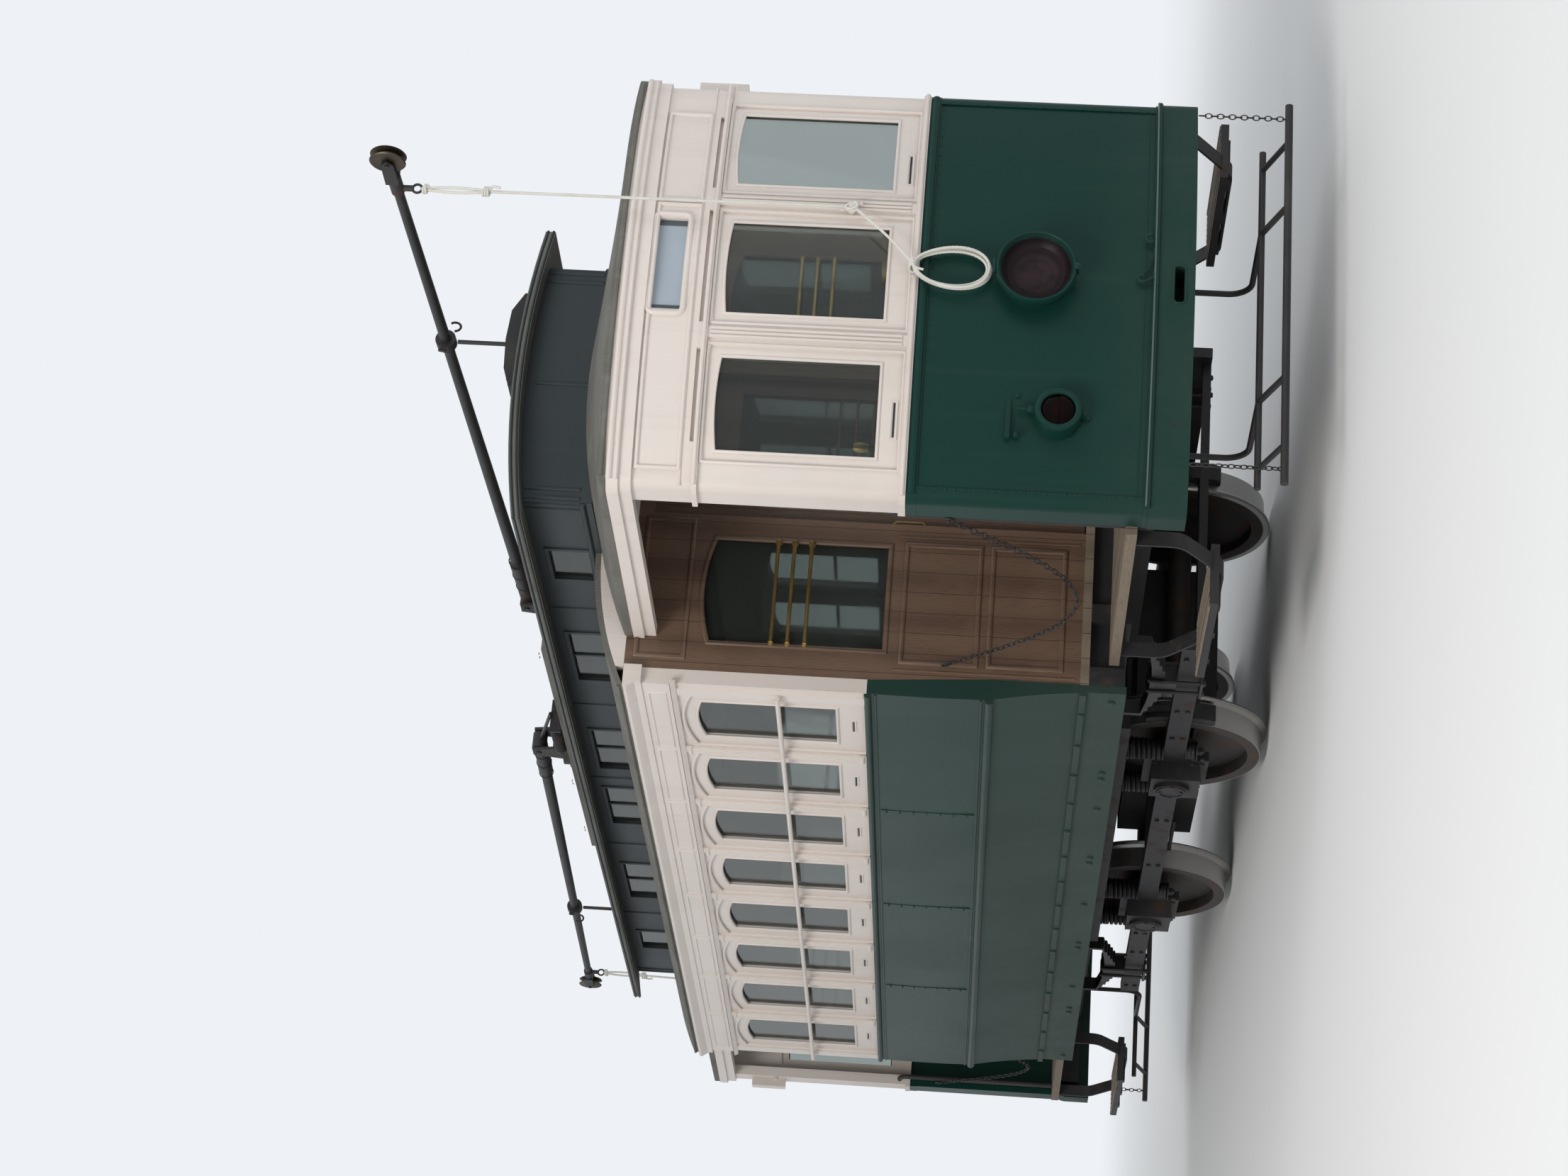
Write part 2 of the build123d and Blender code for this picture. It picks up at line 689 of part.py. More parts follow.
def bulkhead():
    """End wall of the saloon with its doorway and two lights, up to the roofs."""
    x1 = HALF_SALOON
    x0 = x1 - BULKHEAD_T
    y = SIDE_Y - WALL
    wall = along_x([(0, FLOOR_Z), (INNER_Y, FLOOR_Z), (INNER_Y, BELT_Z), (y, SILL_Z), (y, DECK_TOP_Z),
                    (0, DECK_TOP_Z)], x0, x1)
    wall += other_side(wall)
    above = deck_strip(ROOF_CUT, x0, x1)
    wall = wall - above - other_side(above)
    wall -= block(x0, x1, -DOOR_HALF, DOOR_HALF, FLOOR_Z, DOOR_TOP)
    for light in bulkhead_lights(x0, x1):
        wall -= light
    return wall


def door():
    """Sliding door on the saloon side of the bulkhead, hung from the track over it, and its pane."""
    x1 = HALF_SALOON - BULKHEAD_T - RUN
    x0 = x1 - DOOR_T
    half = DOOR_HALF + DOOR_LAP
    light = half - DOOR_STILE
    leaf = block(x0, x1, -half, half, FLOOR_Z + RUN, DOOR_TOP + DOOR_HEAD)
    leaf -= block(x0, x1, -light, light, DOOR_PANE_LOW, DOOR_PANE_TOP)
    panel_low = FLOOR_Z + 1.5 * DOOR_STILE
    leaf -= block(x1 - DOOR_SINK, x1, -light, light, panel_low, DOOR_PANE_LOW - DOOR_STILE)
    for i in range(BARS):
        z = DOOR_PANE_LOW + DOOR_STILE + i * BAR_PITCH
        leaf += rod((x1 - BAR_SET, -light, z), (x1 - BAR_SET, light, z), BAR_R)
    pane = block(x0 + GLASS_T, x0 + 2 * GLASS_T, -light, light, DOOR_PANE_LOW, DOOR_PANE_TOP)
    return leaf, pane


def door_track():
    """Rail over the doorway that the door hangs from."""
    x1 = HALF_SALOON - BULKHEAD_T
    z = DOOR_TOP + DOOR_HEAD + CLEAR
    reach = DOOR_HALF + DOOR_LAP + 2 * RUN
    return block(x1 - 2 * RUN - DOOR_T, x1, -reach, reach + DOOR_TRAVEL, z, z + TRACK_H)


# Roofs

def deck_strip(thickness, x0, x1):
    """Curved strip along the lower roof at -Y, this far upwards from its underside."""
    y0 = -SIDE_Y - DECK_OUT
    y1 = -LIGHT_Y
    ym = (y0 + y1) / 2
    low = CORNICE_Z
    high = DECK_TOP_Z - DECK_T
    zm = (low + high) / 2 + DECK_BULGE
    t = thickness
    face = make_face([
        ThreePointArc((x0, y0, low), (x0, ym, zm), (x0, y1, high)),
        Line((x0, y1, high), (x0, y1, high + t)),
        ThreePointArc((x0, y1, high + t), (x0, ym, zm + t), (x0, y0, low + t)),
        Line((x0, y0, low + t), (x0, y0, low)),
    ])
    return extrude(face, amount=x1 - x0, dir=(1, 0, 0))


def crowned(x, half, edge_z, crown_z, base_z):
    """Section across the car between a flat base and a crowned top."""
    return make_face([
        ThreePointArc((x, -half, edge_z), (x, 0, crown_z), (x, half, edge_z)),
        Line((x, half, edge_z), (x, half, base_z)),
        Line((x, half, base_z), (x, -half, base_z)),
        Line((x, -half, base_z), (x, -half, edge_z)),
    ])


def under_hood(drop):
    """All that lies under the platform roof's top, lowered by drop, down to the top of the doors."""
    half = DASH_Y + HOOD_OUT
    edge = FRONT_CORNICE_Z + HOOD_T - drop
    rows = [(HALF_SALOON, edge + HOOD_RISE, CROWN_Z + HOOD_RISE - drop),
            (LIGHT_X + 2 * LIGHT_T, edge + HOOD_RISE, CROWN_Z - drop),
            (DASH_X + BOW + CORNER_R, edge, edge + HOOD_RISE)]
    sections = [crowned(x, half, e, c, FRONT_DRIP_Z) for x, e, c in rows]
    return loft(sections[:2], ruled=True) + loft(sections[1:], ruled=True)


def hood():
    """Crowned roof over a platform, sloping down to the bow front."""
    plan = bow_plan(HOOD_OUT, HALF_SALOON, FRONT_DRIP_Z, CORNER_R + HOOD_OUT)
    body = under_hood(0) - under_hood(HOOD_T)
    return body & extrude(plan, amount=MONITOR_EDGE_Z - FRONT_DRIP_Z, dir=(0, 0, 1))


def clerestory():
    """Walls of the raised roof, with openings for its lights."""
    top = MONITOR_EDGE_Z + MONITOR_T + MONITOR_CROWN
    low = DECK_TOP_Z - DECK_T
    y = LIGHT_Y - LIGHT_T
    x = LIGHT_X - LIGHT_T
    walls = block(-LIGHT_X, LIGHT_X, -LIGHT_Y, LIGHT_Y, low, top) - block(-x, x, -y, y, low, top)
    for x0, x1 in LIGHTS:
        walls -= block(x0, x1, -LIGHT_Y, LIGHT_Y, LIGHT_LOW, LIGHT_HIGH)
    return walls


def clerestory_glass():
    """A pane in each light of one side of the raised roof."""
    y = -LIGHT_Y + (LIGHT_T - GLASS_T) / 2
    return [block(x0, x1, y, y + GLASS_T, LIGHT_LOW, LIGHT_HIGH) for x0, x1 in LIGHTS]


def under_monitor(top):
    """All that lies under a crowned surface with this edge height, over the raised roof's plan."""
    face = crowned(-MONITOR_X, MONITOR_Y, top, top + MONITOR_CROWN, DECK_TOP_Z - DECK_T)
    return extrude(face, amount=2 * MONITOR_X, dir=(1, 0, 0))


def monitor_top(y):
    """Height of the raised roof's top at this y."""
    c = MONITOR_CROWN
    r = (MONITOR_Y ** 2 + c ** 2) / (2 * c)
    return MONITOR_EDGE_Z + MONITOR_T + c - r + sqrt(r ** 2 - y ** 2)


# Roof gear

def trolley_planks(roof):
    """Running boards on battens along the crown, which carry the trolley feet."""
    low = PLANK_TOP - PLANK_T
    deck = block(-PLANK_X, PLANK_X, -PLANK_W / 2, PLANK_W / 2, low, PLANK_TOP)
    deck = Pos(0, -1.5 * PLANK_PITCH, 0) * deck
    boards = [Pos(0, i * PLANK_PITCH, 0) * deck for i in range(PLANKS)]
    planks = boards[0]
    for board in boards[1:]:
        planks += board
    for x in BATTENS:
        planks += block(x - BATTEN_W / 2, x + BATTEN_W / 2, -PLANK_Y, PLANK_Y, MONITOR_EDGE_Z, low) - roof
    return planks


def pole_line(x):
    """Height of the front pole's centre line at this x."""
    return POLE_PIVOT_Z + POLE_RISE * (x - POLE_BASE_X)


def pole_point(x):
    return (x, POLE_Y, pole_line(x))


def pole_rest(roof):
    """Saddle block across the crown with the upright that the pole is clamped over."""
    z = monitor_top(POLE_Y)
    top = z + REST_H
    y = POLE_Y
    reach = REST_BLOCK
    saddle = along_x([(y - reach, z - REST_H), (y + reach, z - REST_H), (y + reach, z + REST_H / 8),
                      (y + reach * 0.62, top - REST_H / 6), (y, top),
                      (y - reach * 0.62, top - REST_H / 10), (y - reach, z + REST_H / 2)],
                     REST_X - REST_W / 2, REST_X + REST_W / 2)
    stem = upright(REST_X, y, top - REST_H / 8, pole_line(REST_X) - CLAMP_R - RUN, REST_R)
    return saddle - roof + stem


def trolley_foot():
    """Fixed foot of a trolley base with its upright pivot."""
    top = PLANK_TOP + FOOT_H
    foot = upright(POLE_BASE_X, POLE_Y, PLANK_TOP, top, FOOT_R)
    return foot + upright(POLE_BASE_X, POLE_Y, top, top + SWIVEL_H, SWIVEL_R)


def trolley_base():
    """Turning part of a trolley base: turntable, cheeks and the spring barrels behind the pole."""
    z0 = PLANK_TOP + FOOT_H + CLEAR
    x = POLE_BASE_X
    barrel_z = z0 + TABLE_T + BARREL_R / 2
    base = upright(x, POLE_Y, z0, z0 + TABLE_T, FOOT_R - CHEEK_T)
    base += upright(x, POLE_Y, z0, z0 + SWIVEL_H + CLEAR, SWIVEL_R + HUB_T)
    base -= upright(x, POLE_Y, PLANK_TOP + FOOT_H, z0 + SWIVEL_H + CLEAR, SWIVEL_R + CLEAR)
    foot_x = FOOT_R * 0.6
    head_x = PIVOT_R * 2.4
    for s in (-1, 1):
        y0, y1 = sorted((POLE_Y + s * CHEEK_GAP, POLE_Y + s * (CHEEK_GAP + CHEEK_T)))
        y = (y0 + y1) / 2
        base += along_y([(x - foot_x, z0 + TABLE_T / 2), (x + foot_x, z0 + TABLE_T / 2),
                         (x + head_x, POLE_PIVOT_Z + 2 * PIVOT_R), (x - head_x, POLE_PIVOT_Z + 2 * PIVOT_R)],
                        y0, y1)
        base += rod((x - TAIL, y, barrel_z), (x - foot_x / 2, y, barrel_z), BARREL_R)
        base -= rod((x, y0, POLE_PIVOT_Z), (x, y1, POLE_PIVOT_Z), PIVOT_R + FIT)
    reach = CHEEK_GAP + CHEEK_T + BARREL_R
    return base + block(x - TAIL - CHEEK_T, x - TAIL, POLE_Y - reach, POLE_Y + reach,
                        barrel_z - BARREL_R - FIXING, barrel_z + BARREL_R + FIXING)


def trolley_pole():
    """Tapered pole in its sleeve, with the hinge boss and its pin."""
    x = POLE_BASE_X
    boss = CHEEK_GAP - RUN
    pin = CHEEK_GAP + CHEEK_T + RUN
    pole = rod(pole_point(x + PIVOT_R), pole_point(SLEEVE_END), SLEEVE_R)
    pole += rod(pole_point(SLEEVE_END), pole_point(POLE_HEAD_X), POLE_R0, POLE_R1)
    pole += rod((x, POLE_Y - boss, POLE_PIVOT_Z), (x, POLE_Y + boss, POLE_PIVOT_Z), SLEEVE_R)
    return pole + rod((x, POLE_Y - pin, POLE_PIVOT_Z), (x, POLE_Y + pin, POLE_PIVOT_Z), PIVOT_R)


def pole_fittings(pole):
    """What sits on a pole: the rest's clamp, the rope band with its hook, and the fork's socket."""
    clamp = rod(pole_point(REST_X - CLAMP_W / 2), pole_point(REST_X + CLAMP_W / 2), CLAMP_R)
    band = rod(pole_point(BAND_X - CLAMP_W / 2), pole_point(BAND_X + CLAMP_W / 2), SOCKET_R)
    hook_z = pole_line(BAND_X)
    band += upright(BAND_X, POLE_Y, hook_z - HOOK_DROP, hook_z - POLE_R1, HOOK_R)
    head = rod(pole_point(POLE_HEAD_X - 2 * SOCKET_R), pole_point(POLE_HEAD_X + HARP_W), SOCKET_R)
    z = pole_line(TROLLEY_WHEEL_X)
    x0 = POLE_HEAD_X + HARP_T
    out = HARP_W + HARP_T
    head += block(x0, x0 + HARP_W, POLE_Y - out, POLE_Y + out, z - HARP_W, z + HARP_W)
    for s in (-1, 1):
        y0, y1 = sorted((POLE_Y + s * HARP_W, POLE_Y + s * out))
        head += along_y([(x0, z - HARP_W), (TROLLEY_WHEEL_X, z - HARP_W), (TROLLEY_WHEEL_X + HARP_W, z),
                         (TROLLEY_WHEEL_X, z + HARP_W), (x0, z + HARP_W)], y0, y1)
    reach = 2 * out
    head -= rod((TROLLEY_WHEEL_X, POLE_Y - reach, z), (TROLLEY_WHEEL_X, POLE_Y + reach, z), WHEEL_PIN + FIT)
    return [clamp - pole, band - pole, head - pole]


def trolley_wheel():
    """Grooved wheel at the pole's head, with its pin."""
    x = TROLLEY_WHEEL_X
    z = pole_line(x)
    half = HARP_W - RUN
    r = TROLLEY_WHEEL_R
    groove = r - HARP_W
    half_section = [(0, half), (r - RIM_EDGE, half), (r, half - RIM_EDGE), (groove, half / 3)]
    points = half_section + [(out, -y) for out, y in reversed(half_section)]
    profile = make_face(Polyline([(x + out, POLE_Y + y, z) for out, y in points], close=True))
    wheel = revolve(profile, Axis((x, POLE_Y, z), (0, 1, 0)))
    reach = HARP_W + HARP_T + RUN
    return wheel + rod((x, POLE_Y - reach, z), (x, POLE_Y + reach, z), WHEEL_PIN)


# Underframe, floors and steps

def underframe():
    """Sole bars, truck bearers and cross members, with the bearers that carry the platforms."""
    top = FLOOR_Z - FLOOR_T
    hang = PLATFORM_Z - PLATFORM_T
    low = hang - BEARER_H
    frame = block(-HALF_SALOON, HALF_SALOON, SOLE_OUT - SOLE_W, SOLE_OUT, SKIRT_Z + RUN, top)
    frame += block(-HALF_SALOON, HALF_SALOON, FRAME_Y - CHORD_W / 2, FRAME_Y + CHORD_W / 2, CHORD_TOP, top)
    frame += other_side(frame)
    for x in CROSS_PLACES:
        frame += block(x - CROSS_W / 2, x + CROSS_W / 2, -SOLE_OUT, SOLE_OUT, CHORD_TOP + BEARER_GAP, top)
    end = DASH_X - DASH_T - RUN
    inner = CROSS_PLACES[-2]
    for y in (-PLATFORM_BEARER_Y, PLATFORM_BEARER_Y):
        bearer = block(inner - CROSS_W / 2, end, y - CROSS_W / 2, y + CROSS_W / 2, low, hang)
        bearer += block(inner - CROSS_W / 2, inner + CROSS_W / 2, y - CROSS_W / 2, y + CROSS_W / 2, low, top)
        frame += bearer
        frame += other_end(bearer)
    head = block(end - CROSS_W, end, -DASH_Y + CROSS_W, DASH_Y - CROSS_W, low, hang)
    reach = PLATFORM_BEARER_Y + CROSS_W / 2
    head += block(HALF_SALOON - 1.5 * CROSS_W, HALF_SALOON - CROSS_W / 2, -reach, reach, low, top)
    return frame + head + other_end(head)


def saloon_floor():
    return block(-HALF_SALOON, HALF_SALOON, -SOLE_OUT, SOLE_OUT, FLOOR_Z - FLOOR_T, FLOOR_Z)


def platform():
    """Platform floor, wide at the entrances and set inside the dash in front."""
    low = PLATFORM_Z - PLATFORM_T
    floor = block(HALF_SALOON, BACK_X, -PLATFORM_Y, PLATFORM_Y, low, PLATFORM_Z)
    nose = bow_plan(-DASH_T, BACK_X, low, CORNER_R - DASH_T)
    return floor + extrude(nose, amount=PLATFORM_T, dir=(0, 0, 1))


def step():
    """Step board under one side of a platform, on lugs over a bent iron."""
    y0, y1 = STEP_Y
    x0, x1 = STEP_X
    top = PLATFORM_Z - PLATFORM_T
    low = STEP_Z - LUG_T - STRAP_T / 2
    a = x0 - STRAP_SPREAD
    b = x1 + STRAP_SPREAD
    turn = (top + low) / 2
    line = FilletPolyline((a, -STRAP_Y, top), (a, -STRAP_Y, turn), (x0 + STRAP_W, -STRAP_Y, low),
                          (x1 - STRAP_W, -STRAP_Y, low), (b, -STRAP_Y, turn), (b, -STRAP_Y, top),
                          radius=STRAP_SPREAD / 2)
    start = Plane(origin=line @ 0, x_dir=(0, 1, 0), z_dir=line % 0)
    iron = sweep(start * Rectangle(STRAP_W, STRAP_T), path=line)
    board = block(x0, x1, -y1, -y0, STEP_Z, STEP_Z + STEP_T)
    for x in (x0 + 2 * LUG_W, (x0 + x1) / 2, x1 - 2 * LUG_W):
        iron += block(x - LUG_W / 2, x + LUG_W / 2, -y1 + LUG_W / 2, -y0 - LUG_W / 4, STEP_Z - LUG_T, STEP_Z)
    return board + iron


# Inside

def bench():
    """Long slatted bench along one side with its backrest, at -Y."""
    wall = -INNER_Y
    seat_back = wall + BENCH_GAP
    front = wall + BENCH_D
    top = FLOOR_Z + BENCH_H
    low = top - BENCH_T
    seat = block(-BENCH_X, BENCH_X, seat_back, front, low, top)
    seat += block(-BENCH_X, BENCH_X, front - 2 * BENCH_BOARD, front - BENCH_BOARD, FLOOR_Z, low)
    seat += block(-BENCH_X, BENCH_X, wall, wall + BENCH_BOARD, top, SILL_Z - RUN)
    for x in (-BENCH_X, BENCH_X - BENCH_BOARD):
        seat += block(x, x + BENCH_BOARD, seat_back, front, FLOOR_Z, low)
    return seat


def controller():
    """Driver's control case with its crank, standing on the platform behind the dash."""
    x = CONTROL_X
    y = CONTROL_Y
    top = PLATFORM_Z + CONTROL_H
    case = block(x - CASE_X, x + CASE_X, y - CASE_Y, y + CASE_Y, PLATFORM_Z, top)
    case += upright(x, y, top, top + DRUM_H, DRUM_R)
    crank = top + 2 * DRUM_H
    case += upright(x, y, top, crank, CRANK_R)
    case += block(x - CRANK, x + 2 * CRANK_R, y - CRANK_R, y + CRANK_R, crank - CRANK_R, crank)
    return case + upright(x - CRANK + CRANK_R, y, crank - CRANK_R, crank + KNOB_H, CRANK_R)


def brake_column():
    """Upright hand-brake staff with its wheel."""
    x = CONTROL_X + STAFF_R * 3
    y = BRAKE_Y
    top = PLATFORM_Z + BRAKE_H
    rim_low = top - BRAKE_RIM
    staff = upright(x, y, PLATFORM_Z, top, STAFF_R)
    staff += upright(x, y, PLATFORM_Z, PLATFORM_Z + FOOT_H, 3 * STAFF_R)
    rim = upright(x, y, rim_low, top, BRAKE_WHEEL_R) - upright(x, y, rim_low, top, BRAKE_WHEEL_R - BRAKE_RIM)
    arm = BRAKE_WHEEL_R - BRAKE_RIM / 2
    half = BRAKE_RIM / 2.6
    rim += block(x - arm, x + arm, y - half, y + half, rim_low + RUN, top - RUN)
    rim += block(x - half, x + half, y - arm, y + arm, rim_low + RUN, top - RUN)
    return staff + rim


# Truck

def side_frame():
    """One forged side frame at -Y: lower bar with a pedestal round each axle box."""
    y0 = -FRAME_Y - FRAME_W / 2
    y1 = -FRAME_Y + FRAME_W / 2
    half = BOX_W / 2
    outer = half + PEDESTAL
    frame = block(-FRAME_END, FRAME_END, y0, y1, BAR_LOW, BAR_TOP)
    low = AXLE_Z - BOX_LOW
    high = AXLE_Z + BOX_HIGH
    for x in (-WHEEL_BASE / 2, WHEEL_BASE / 2):
        frame += block(x - outer, x + outer, y0, y1, low - PEDESTAL, high + PEDESTAL)
        frame -= block(x - half, x + half, y0, y1, low, high)
    return frame


def top_chord():
    """Bar over the springs that the car body is bolted to, at -Y."""
    return block(-CHORD_END, CHORD_END, -FRAME_Y - CHORD_W / 2, -FRAME_Y + CHORD_W / 2, CHORD_LOW, CHORD_TOP)


def truck_frame():
    """Both side frames joined by the transoms and end bars."""
    frame = side_frame()
    frame += other_side(side_frame())
    half = TRANSOM_W / 2
    end = FRAME_END - TRANSOM_W
    for x in (-TRANSOM_X, TRANSOM_X):
        frame += block(x - half, x + half, -FRAME_Y, FRAME_Y, BAR_LOW, BAR_TOP)
    for x in (-end, end):
        frame += block(x - half / 2, x + half / 2, -FRAME_Y, FRAME_Y, BAR_LOW, AXLE_Z)
    return frame


def axlebox():
    """Cast axle box in its pedestal, bored for the journal, at -Y."""
    x = WHEEL_BASE / 2
    half = BOX_W / 2 - CLEAR
    back = -FRAME_Y + FRAME_W
    front = -FRAME_Y - BOX_W / 2
    box = block(x - half, x + half, front, back, AXLE_Z - BOX_LOW, AXLE_Z + BOX_HIGH - CLEAR)
    box += rod((x, front, AXLE_Z + LID_RISE), (x, front - LID_T, AXLE_Z + LID_RISE), LID_R)
    return box - rod((x, back, AXLE_Z), (x, -JOURNAL_END - RUN, AXLE_Z), JOURNAL_R + JOURNAL_PLAY)


def coil(x, y, z0, z1, radius, wire, turns):
    """Coil spring as a stack of rings on a core, closed at both ends."""
    pitch = (z1 - z0 - wire) / turns
    core = upright(x, y, z0, z1, radius - wire * 0.6)
    for i in range(turns + 1):
        z = z0 + wire * 0.07 + i * pitch
        core += upright(x, y, z, z + wire * 0.86, radius)
    return core


def coil_springs():
    """Springs beside each axle box between the lower bar and the chord, and the rebound springs."""
    springs = []
    for axle in (-WHEEL_BASE / 2, WHEEL_BASE / 2):
        for x in (axle - COIL_OFF, axle + COIL_OFF):
            springs.append(coil(x, -FRAME_Y, BAR_TOP, CHORD_LOW, COIL_R, COIL_WIRE, COIL_TURNS))
            springs.append(coil(x, -FRAME_Y, BAR_LOW - REBOUND_H, BAR_LOW, COIL_R * 0.85, COIL_WIRE, 2))
    return springs


def leaf_spring():
    """Half-elliptic spring between the frame's end and the underframe, at -Y."""
    y = -FRAME_Y - LEAF_W / 2
    x = LEAF_X
    full = LEAF_LENGTH / 2
    main_z = BAR_TOP + LEAF_SEAT + (LEAVES - 1) * LEAF_T
    spring = block(x - LEAF_STEP, x + LEAF_STEP, y - LEAF_T / 2, y + LEAF_W + LEAF_T / 2, BAR_TOP,
                   main_z + 1.5 * LEAF_T)
    for i in range(LEAVES):
        half = full - i * LEAF_STEP
        low = main_z - i * LEAF_T
        tip = low + LEAF_SAG * (half / full) ** 2
        face = make_face([
            ThreePointArc((x - half, y, tip), (x, y, low), (x + half, y, tip)),
            Line((x + half, y, tip), (x + half, y, tip + LEAF_T)),
            ThreePointArc((x + half, y, tip + LEAF_T), (x, y, low + LEAF_T), (x - half, y, tip + LEAF_T)),
            Line((x - half, y, tip + LEAF_T), (x - half, y, tip)),
        ])
        spring += extrude(face, amount=LEAF_W, dir=(0, 1, 0))
    for end in (x - full + LEAF_T, x + full - LEAF_T):
        spring += block(end - LEAF_T, end + LEAF_T, y, y + LEAF_W, main_z + LEAF_SAG, CHORD_TOP)
    return spring


def wheelset():
    """Axle with its two flanged wheels, on the front axle's line."""
    x = WHEEL_BASE / 2
    back = BACK_Y
    rim = TREAD_R - RIM_T
    web_r = rim - WEB_EASE
    profile = [(0, -HUB_IN), (HUB_R, -HUB_IN), (HUB_R, WEB_Y0), (web_r, WEB_Y1), (rim, 0),
               (TIP_R - FLANGE / 4, 0), (TIP_R, FLANGE / 3), (TIP_R - FLANGE / 6, FLANGE * 0.85),
               (TREAD_R + FLANGE / 12, FLANGE * 1.25), (TREAD_R - CONING, TREAD_W), (rim, TREAD_W),
               (web_r, WEB_Y1 + WEB_T), (HUB_R, WEB_Y0 + WEB_T), (HUB_R, TREAD_W - HUB_IN),
               (0, TREAD_W - HUB_IN)]
    face = make_face(Polyline([(x + r, back + y, AXLE_Z) for r, y in profile], close=True))
    wheel = revolve(face, Axis((x, 0, AXLE_Z), (0, 1, 0)))
    axle = rod((x, -back, AXLE_Z), (x, back, AXLE_Z), AXLE_R)
    journal = rod((x, -JOURNAL_END, AXLE_Z), (x, JOURNAL_END, AXLE_Z), JOURNAL_R)
    return wheel + other_side(wheel) + axle + journal


def motor():
    """Traction motor as one plain block, hung between its axle and the transom."""
    return block(MOTOR_X[0], MOTOR_X[1], -MOTOR_Y, MOTOR_Y, AXLE_Z - MOTOR_LOW, AXLE_Z + MOTOR_HIGH)


def brake_shoe():
    """Shoe on the outer side of a wheel with its hanger from the underframe, at -Y."""
    x = WHEEL_BASE / 2
    y = BACK_Y + TREAD_W - SHOE_W
    inner = TREAD_R + SHOE_GAP
    ring = rod((x, -y - SHOE_W, AXLE_Z), (x, -y, AXLE_Z), inner + SHOE_T)
    ring -= rod((x, -y - SHOE_W, AXLE_Z), (x, -y, AXLE_Z), inner)
    shoe = ring & block(x + inner / 2, x + inner + SHOE_T, -y - SHOE_W, -y, AXLE_Z - SHOE_HALF,
                        AXLE_Z + SHOE_HALF)
    back = x + inner + SHOE_T / 2
    middle = -y - SHOE_W / 2
    return shoe + block(back, back + SHOE_T / 2, middle - HANGER_W / 2, middle + HANGER_W / 2, AXLE_Z,
                        CHORD_TOP + BEARER_GAP)


# Ends: lamps, lifeguards and handles

def headlight(skin):
    """Headlight case with its rim and bowl, and the glass in it."""
    x0 = DASH_X + BOW - LAMP_RIM / 2
    x1 = DASH_X + BOW + LAMP_DEPTH
    back = x1 - LAMP_RIM
    case = rod((x0, 0, LAMP_Z), (back, 0, LAMP_Z), LAMP_R * 0.86, LAMP_R * 0.94)
    case += rod((back, 0, LAMP_Z), (x1, 0, LAMP_Z), LAMP_R)
    bowl = rod((x1 - LAMP_BOWL, 0, LAMP_Z), (x1, 0, LAMP_Z), LAMP_BOWL_R, LAMP_GLASS_R + CLEAR)
    glass = rod((x1 - 2 * GLASS_T, 0, LAMP_Z), (x1 - GLASS_T, 0, LAMP_Z), LAMP_GLASS_R)
    return case - bowl - skin, glass & bowl


def marker_lamp(skin):
    """Small round tail lamp at one side of the dash, with its bracket bar, and its lens."""
    x0 = bow_x(MARKER_Y) - DASH_T / 2
    x1 = x0 + MARKER_DEPTH + DASH_T / 2
    y = MARKER_Y
    z = MARKER_Z
    case = rod((x0, y, z), (x1, y, z), MARKER_R)
    case -= rod((x1 - LENS_SET, y, z), (x1, y, z), LENS_R)
    case += block(x0, x0 + DASH_T, y - NUB_W / 2, y + NUB_W / 2, z - MARKER_R - NUB_W, z - MARKER_R * 0.88)
    bar = block(x0, x0 + DASH_T, y - BAR_HALF, y + BAR_HALF, z + 2 * MARKER_R, z + 2 * MARKER_R + BAR_H)
    lens = rod((x1 - LENS_SET, y, z), (x1 - LENS_SET / 3, y, z), LENS_R)
    return [case - skin, bar - skin], lens


def lifeguard():
    """Bars of the lifeguard under the bumper, carried on two bent arms."""
    low = (GUARD_BAR_X, GUARD_BAR_Z)
    back = (GUARD_BACK_X, GUARD_BACK_Z)
    guard = rod((low[0], -GUARD_HALF, low[1]), (low[0], GUARD_HALF, low[1]), GUARD_BAR_R)
    inner = GUARD_HALF - 2 * CROSS_W
    half = GUARD_HALF - CROSS_W
    guard += rod((back[0], -half, back[1]), (back[0], half, back[1]), HANDLE_R)
    top = PLATFORM_Z - PLATFORM_T - BEARER_H
    root = HALF_SALOON + GUARD_ROOT
    for y in (-PLATFORM_BEARER_Y, PLATFORM_BEARER_Y):
        guard += tube_path([(root, y, top), (root, y, back[1]), (back[0], y, back[1]), (low[0], y, low[1])],
                           [CORNER_R * 2, CORNER_R], GUARD_ARM)
    for y in (-inner, inner):
        guard += rod((back[0], y, back[1]), (low[0], y, low[1]), GUARD_STAY_R)
    return guard


def grab_rail():
    """Upright handrail at the platform's entrance, turned over to the corner post at -Y."""
    x = BACK_X - GRAB_OUT
    y = -DASH_Y + DASH_T
    top = FRONT_SILL_Z + GRAB_OUT
    return tube_path([(x, y, PLATFORM_Z), (x, y, top), (BACK_X, y, top)], [CORNER_R], HANDLE_R)


def corner_box(frame):
    """Small box on the outside of the corner post, under the letterboard, at +Y."""
    x = DASH_X - BOX_OUT
    return block(x - BOX_OUT, x, DASH_Y - FIXING, DASH_Y + BOX_OUT, *CORNER_BOX_Z) - frame


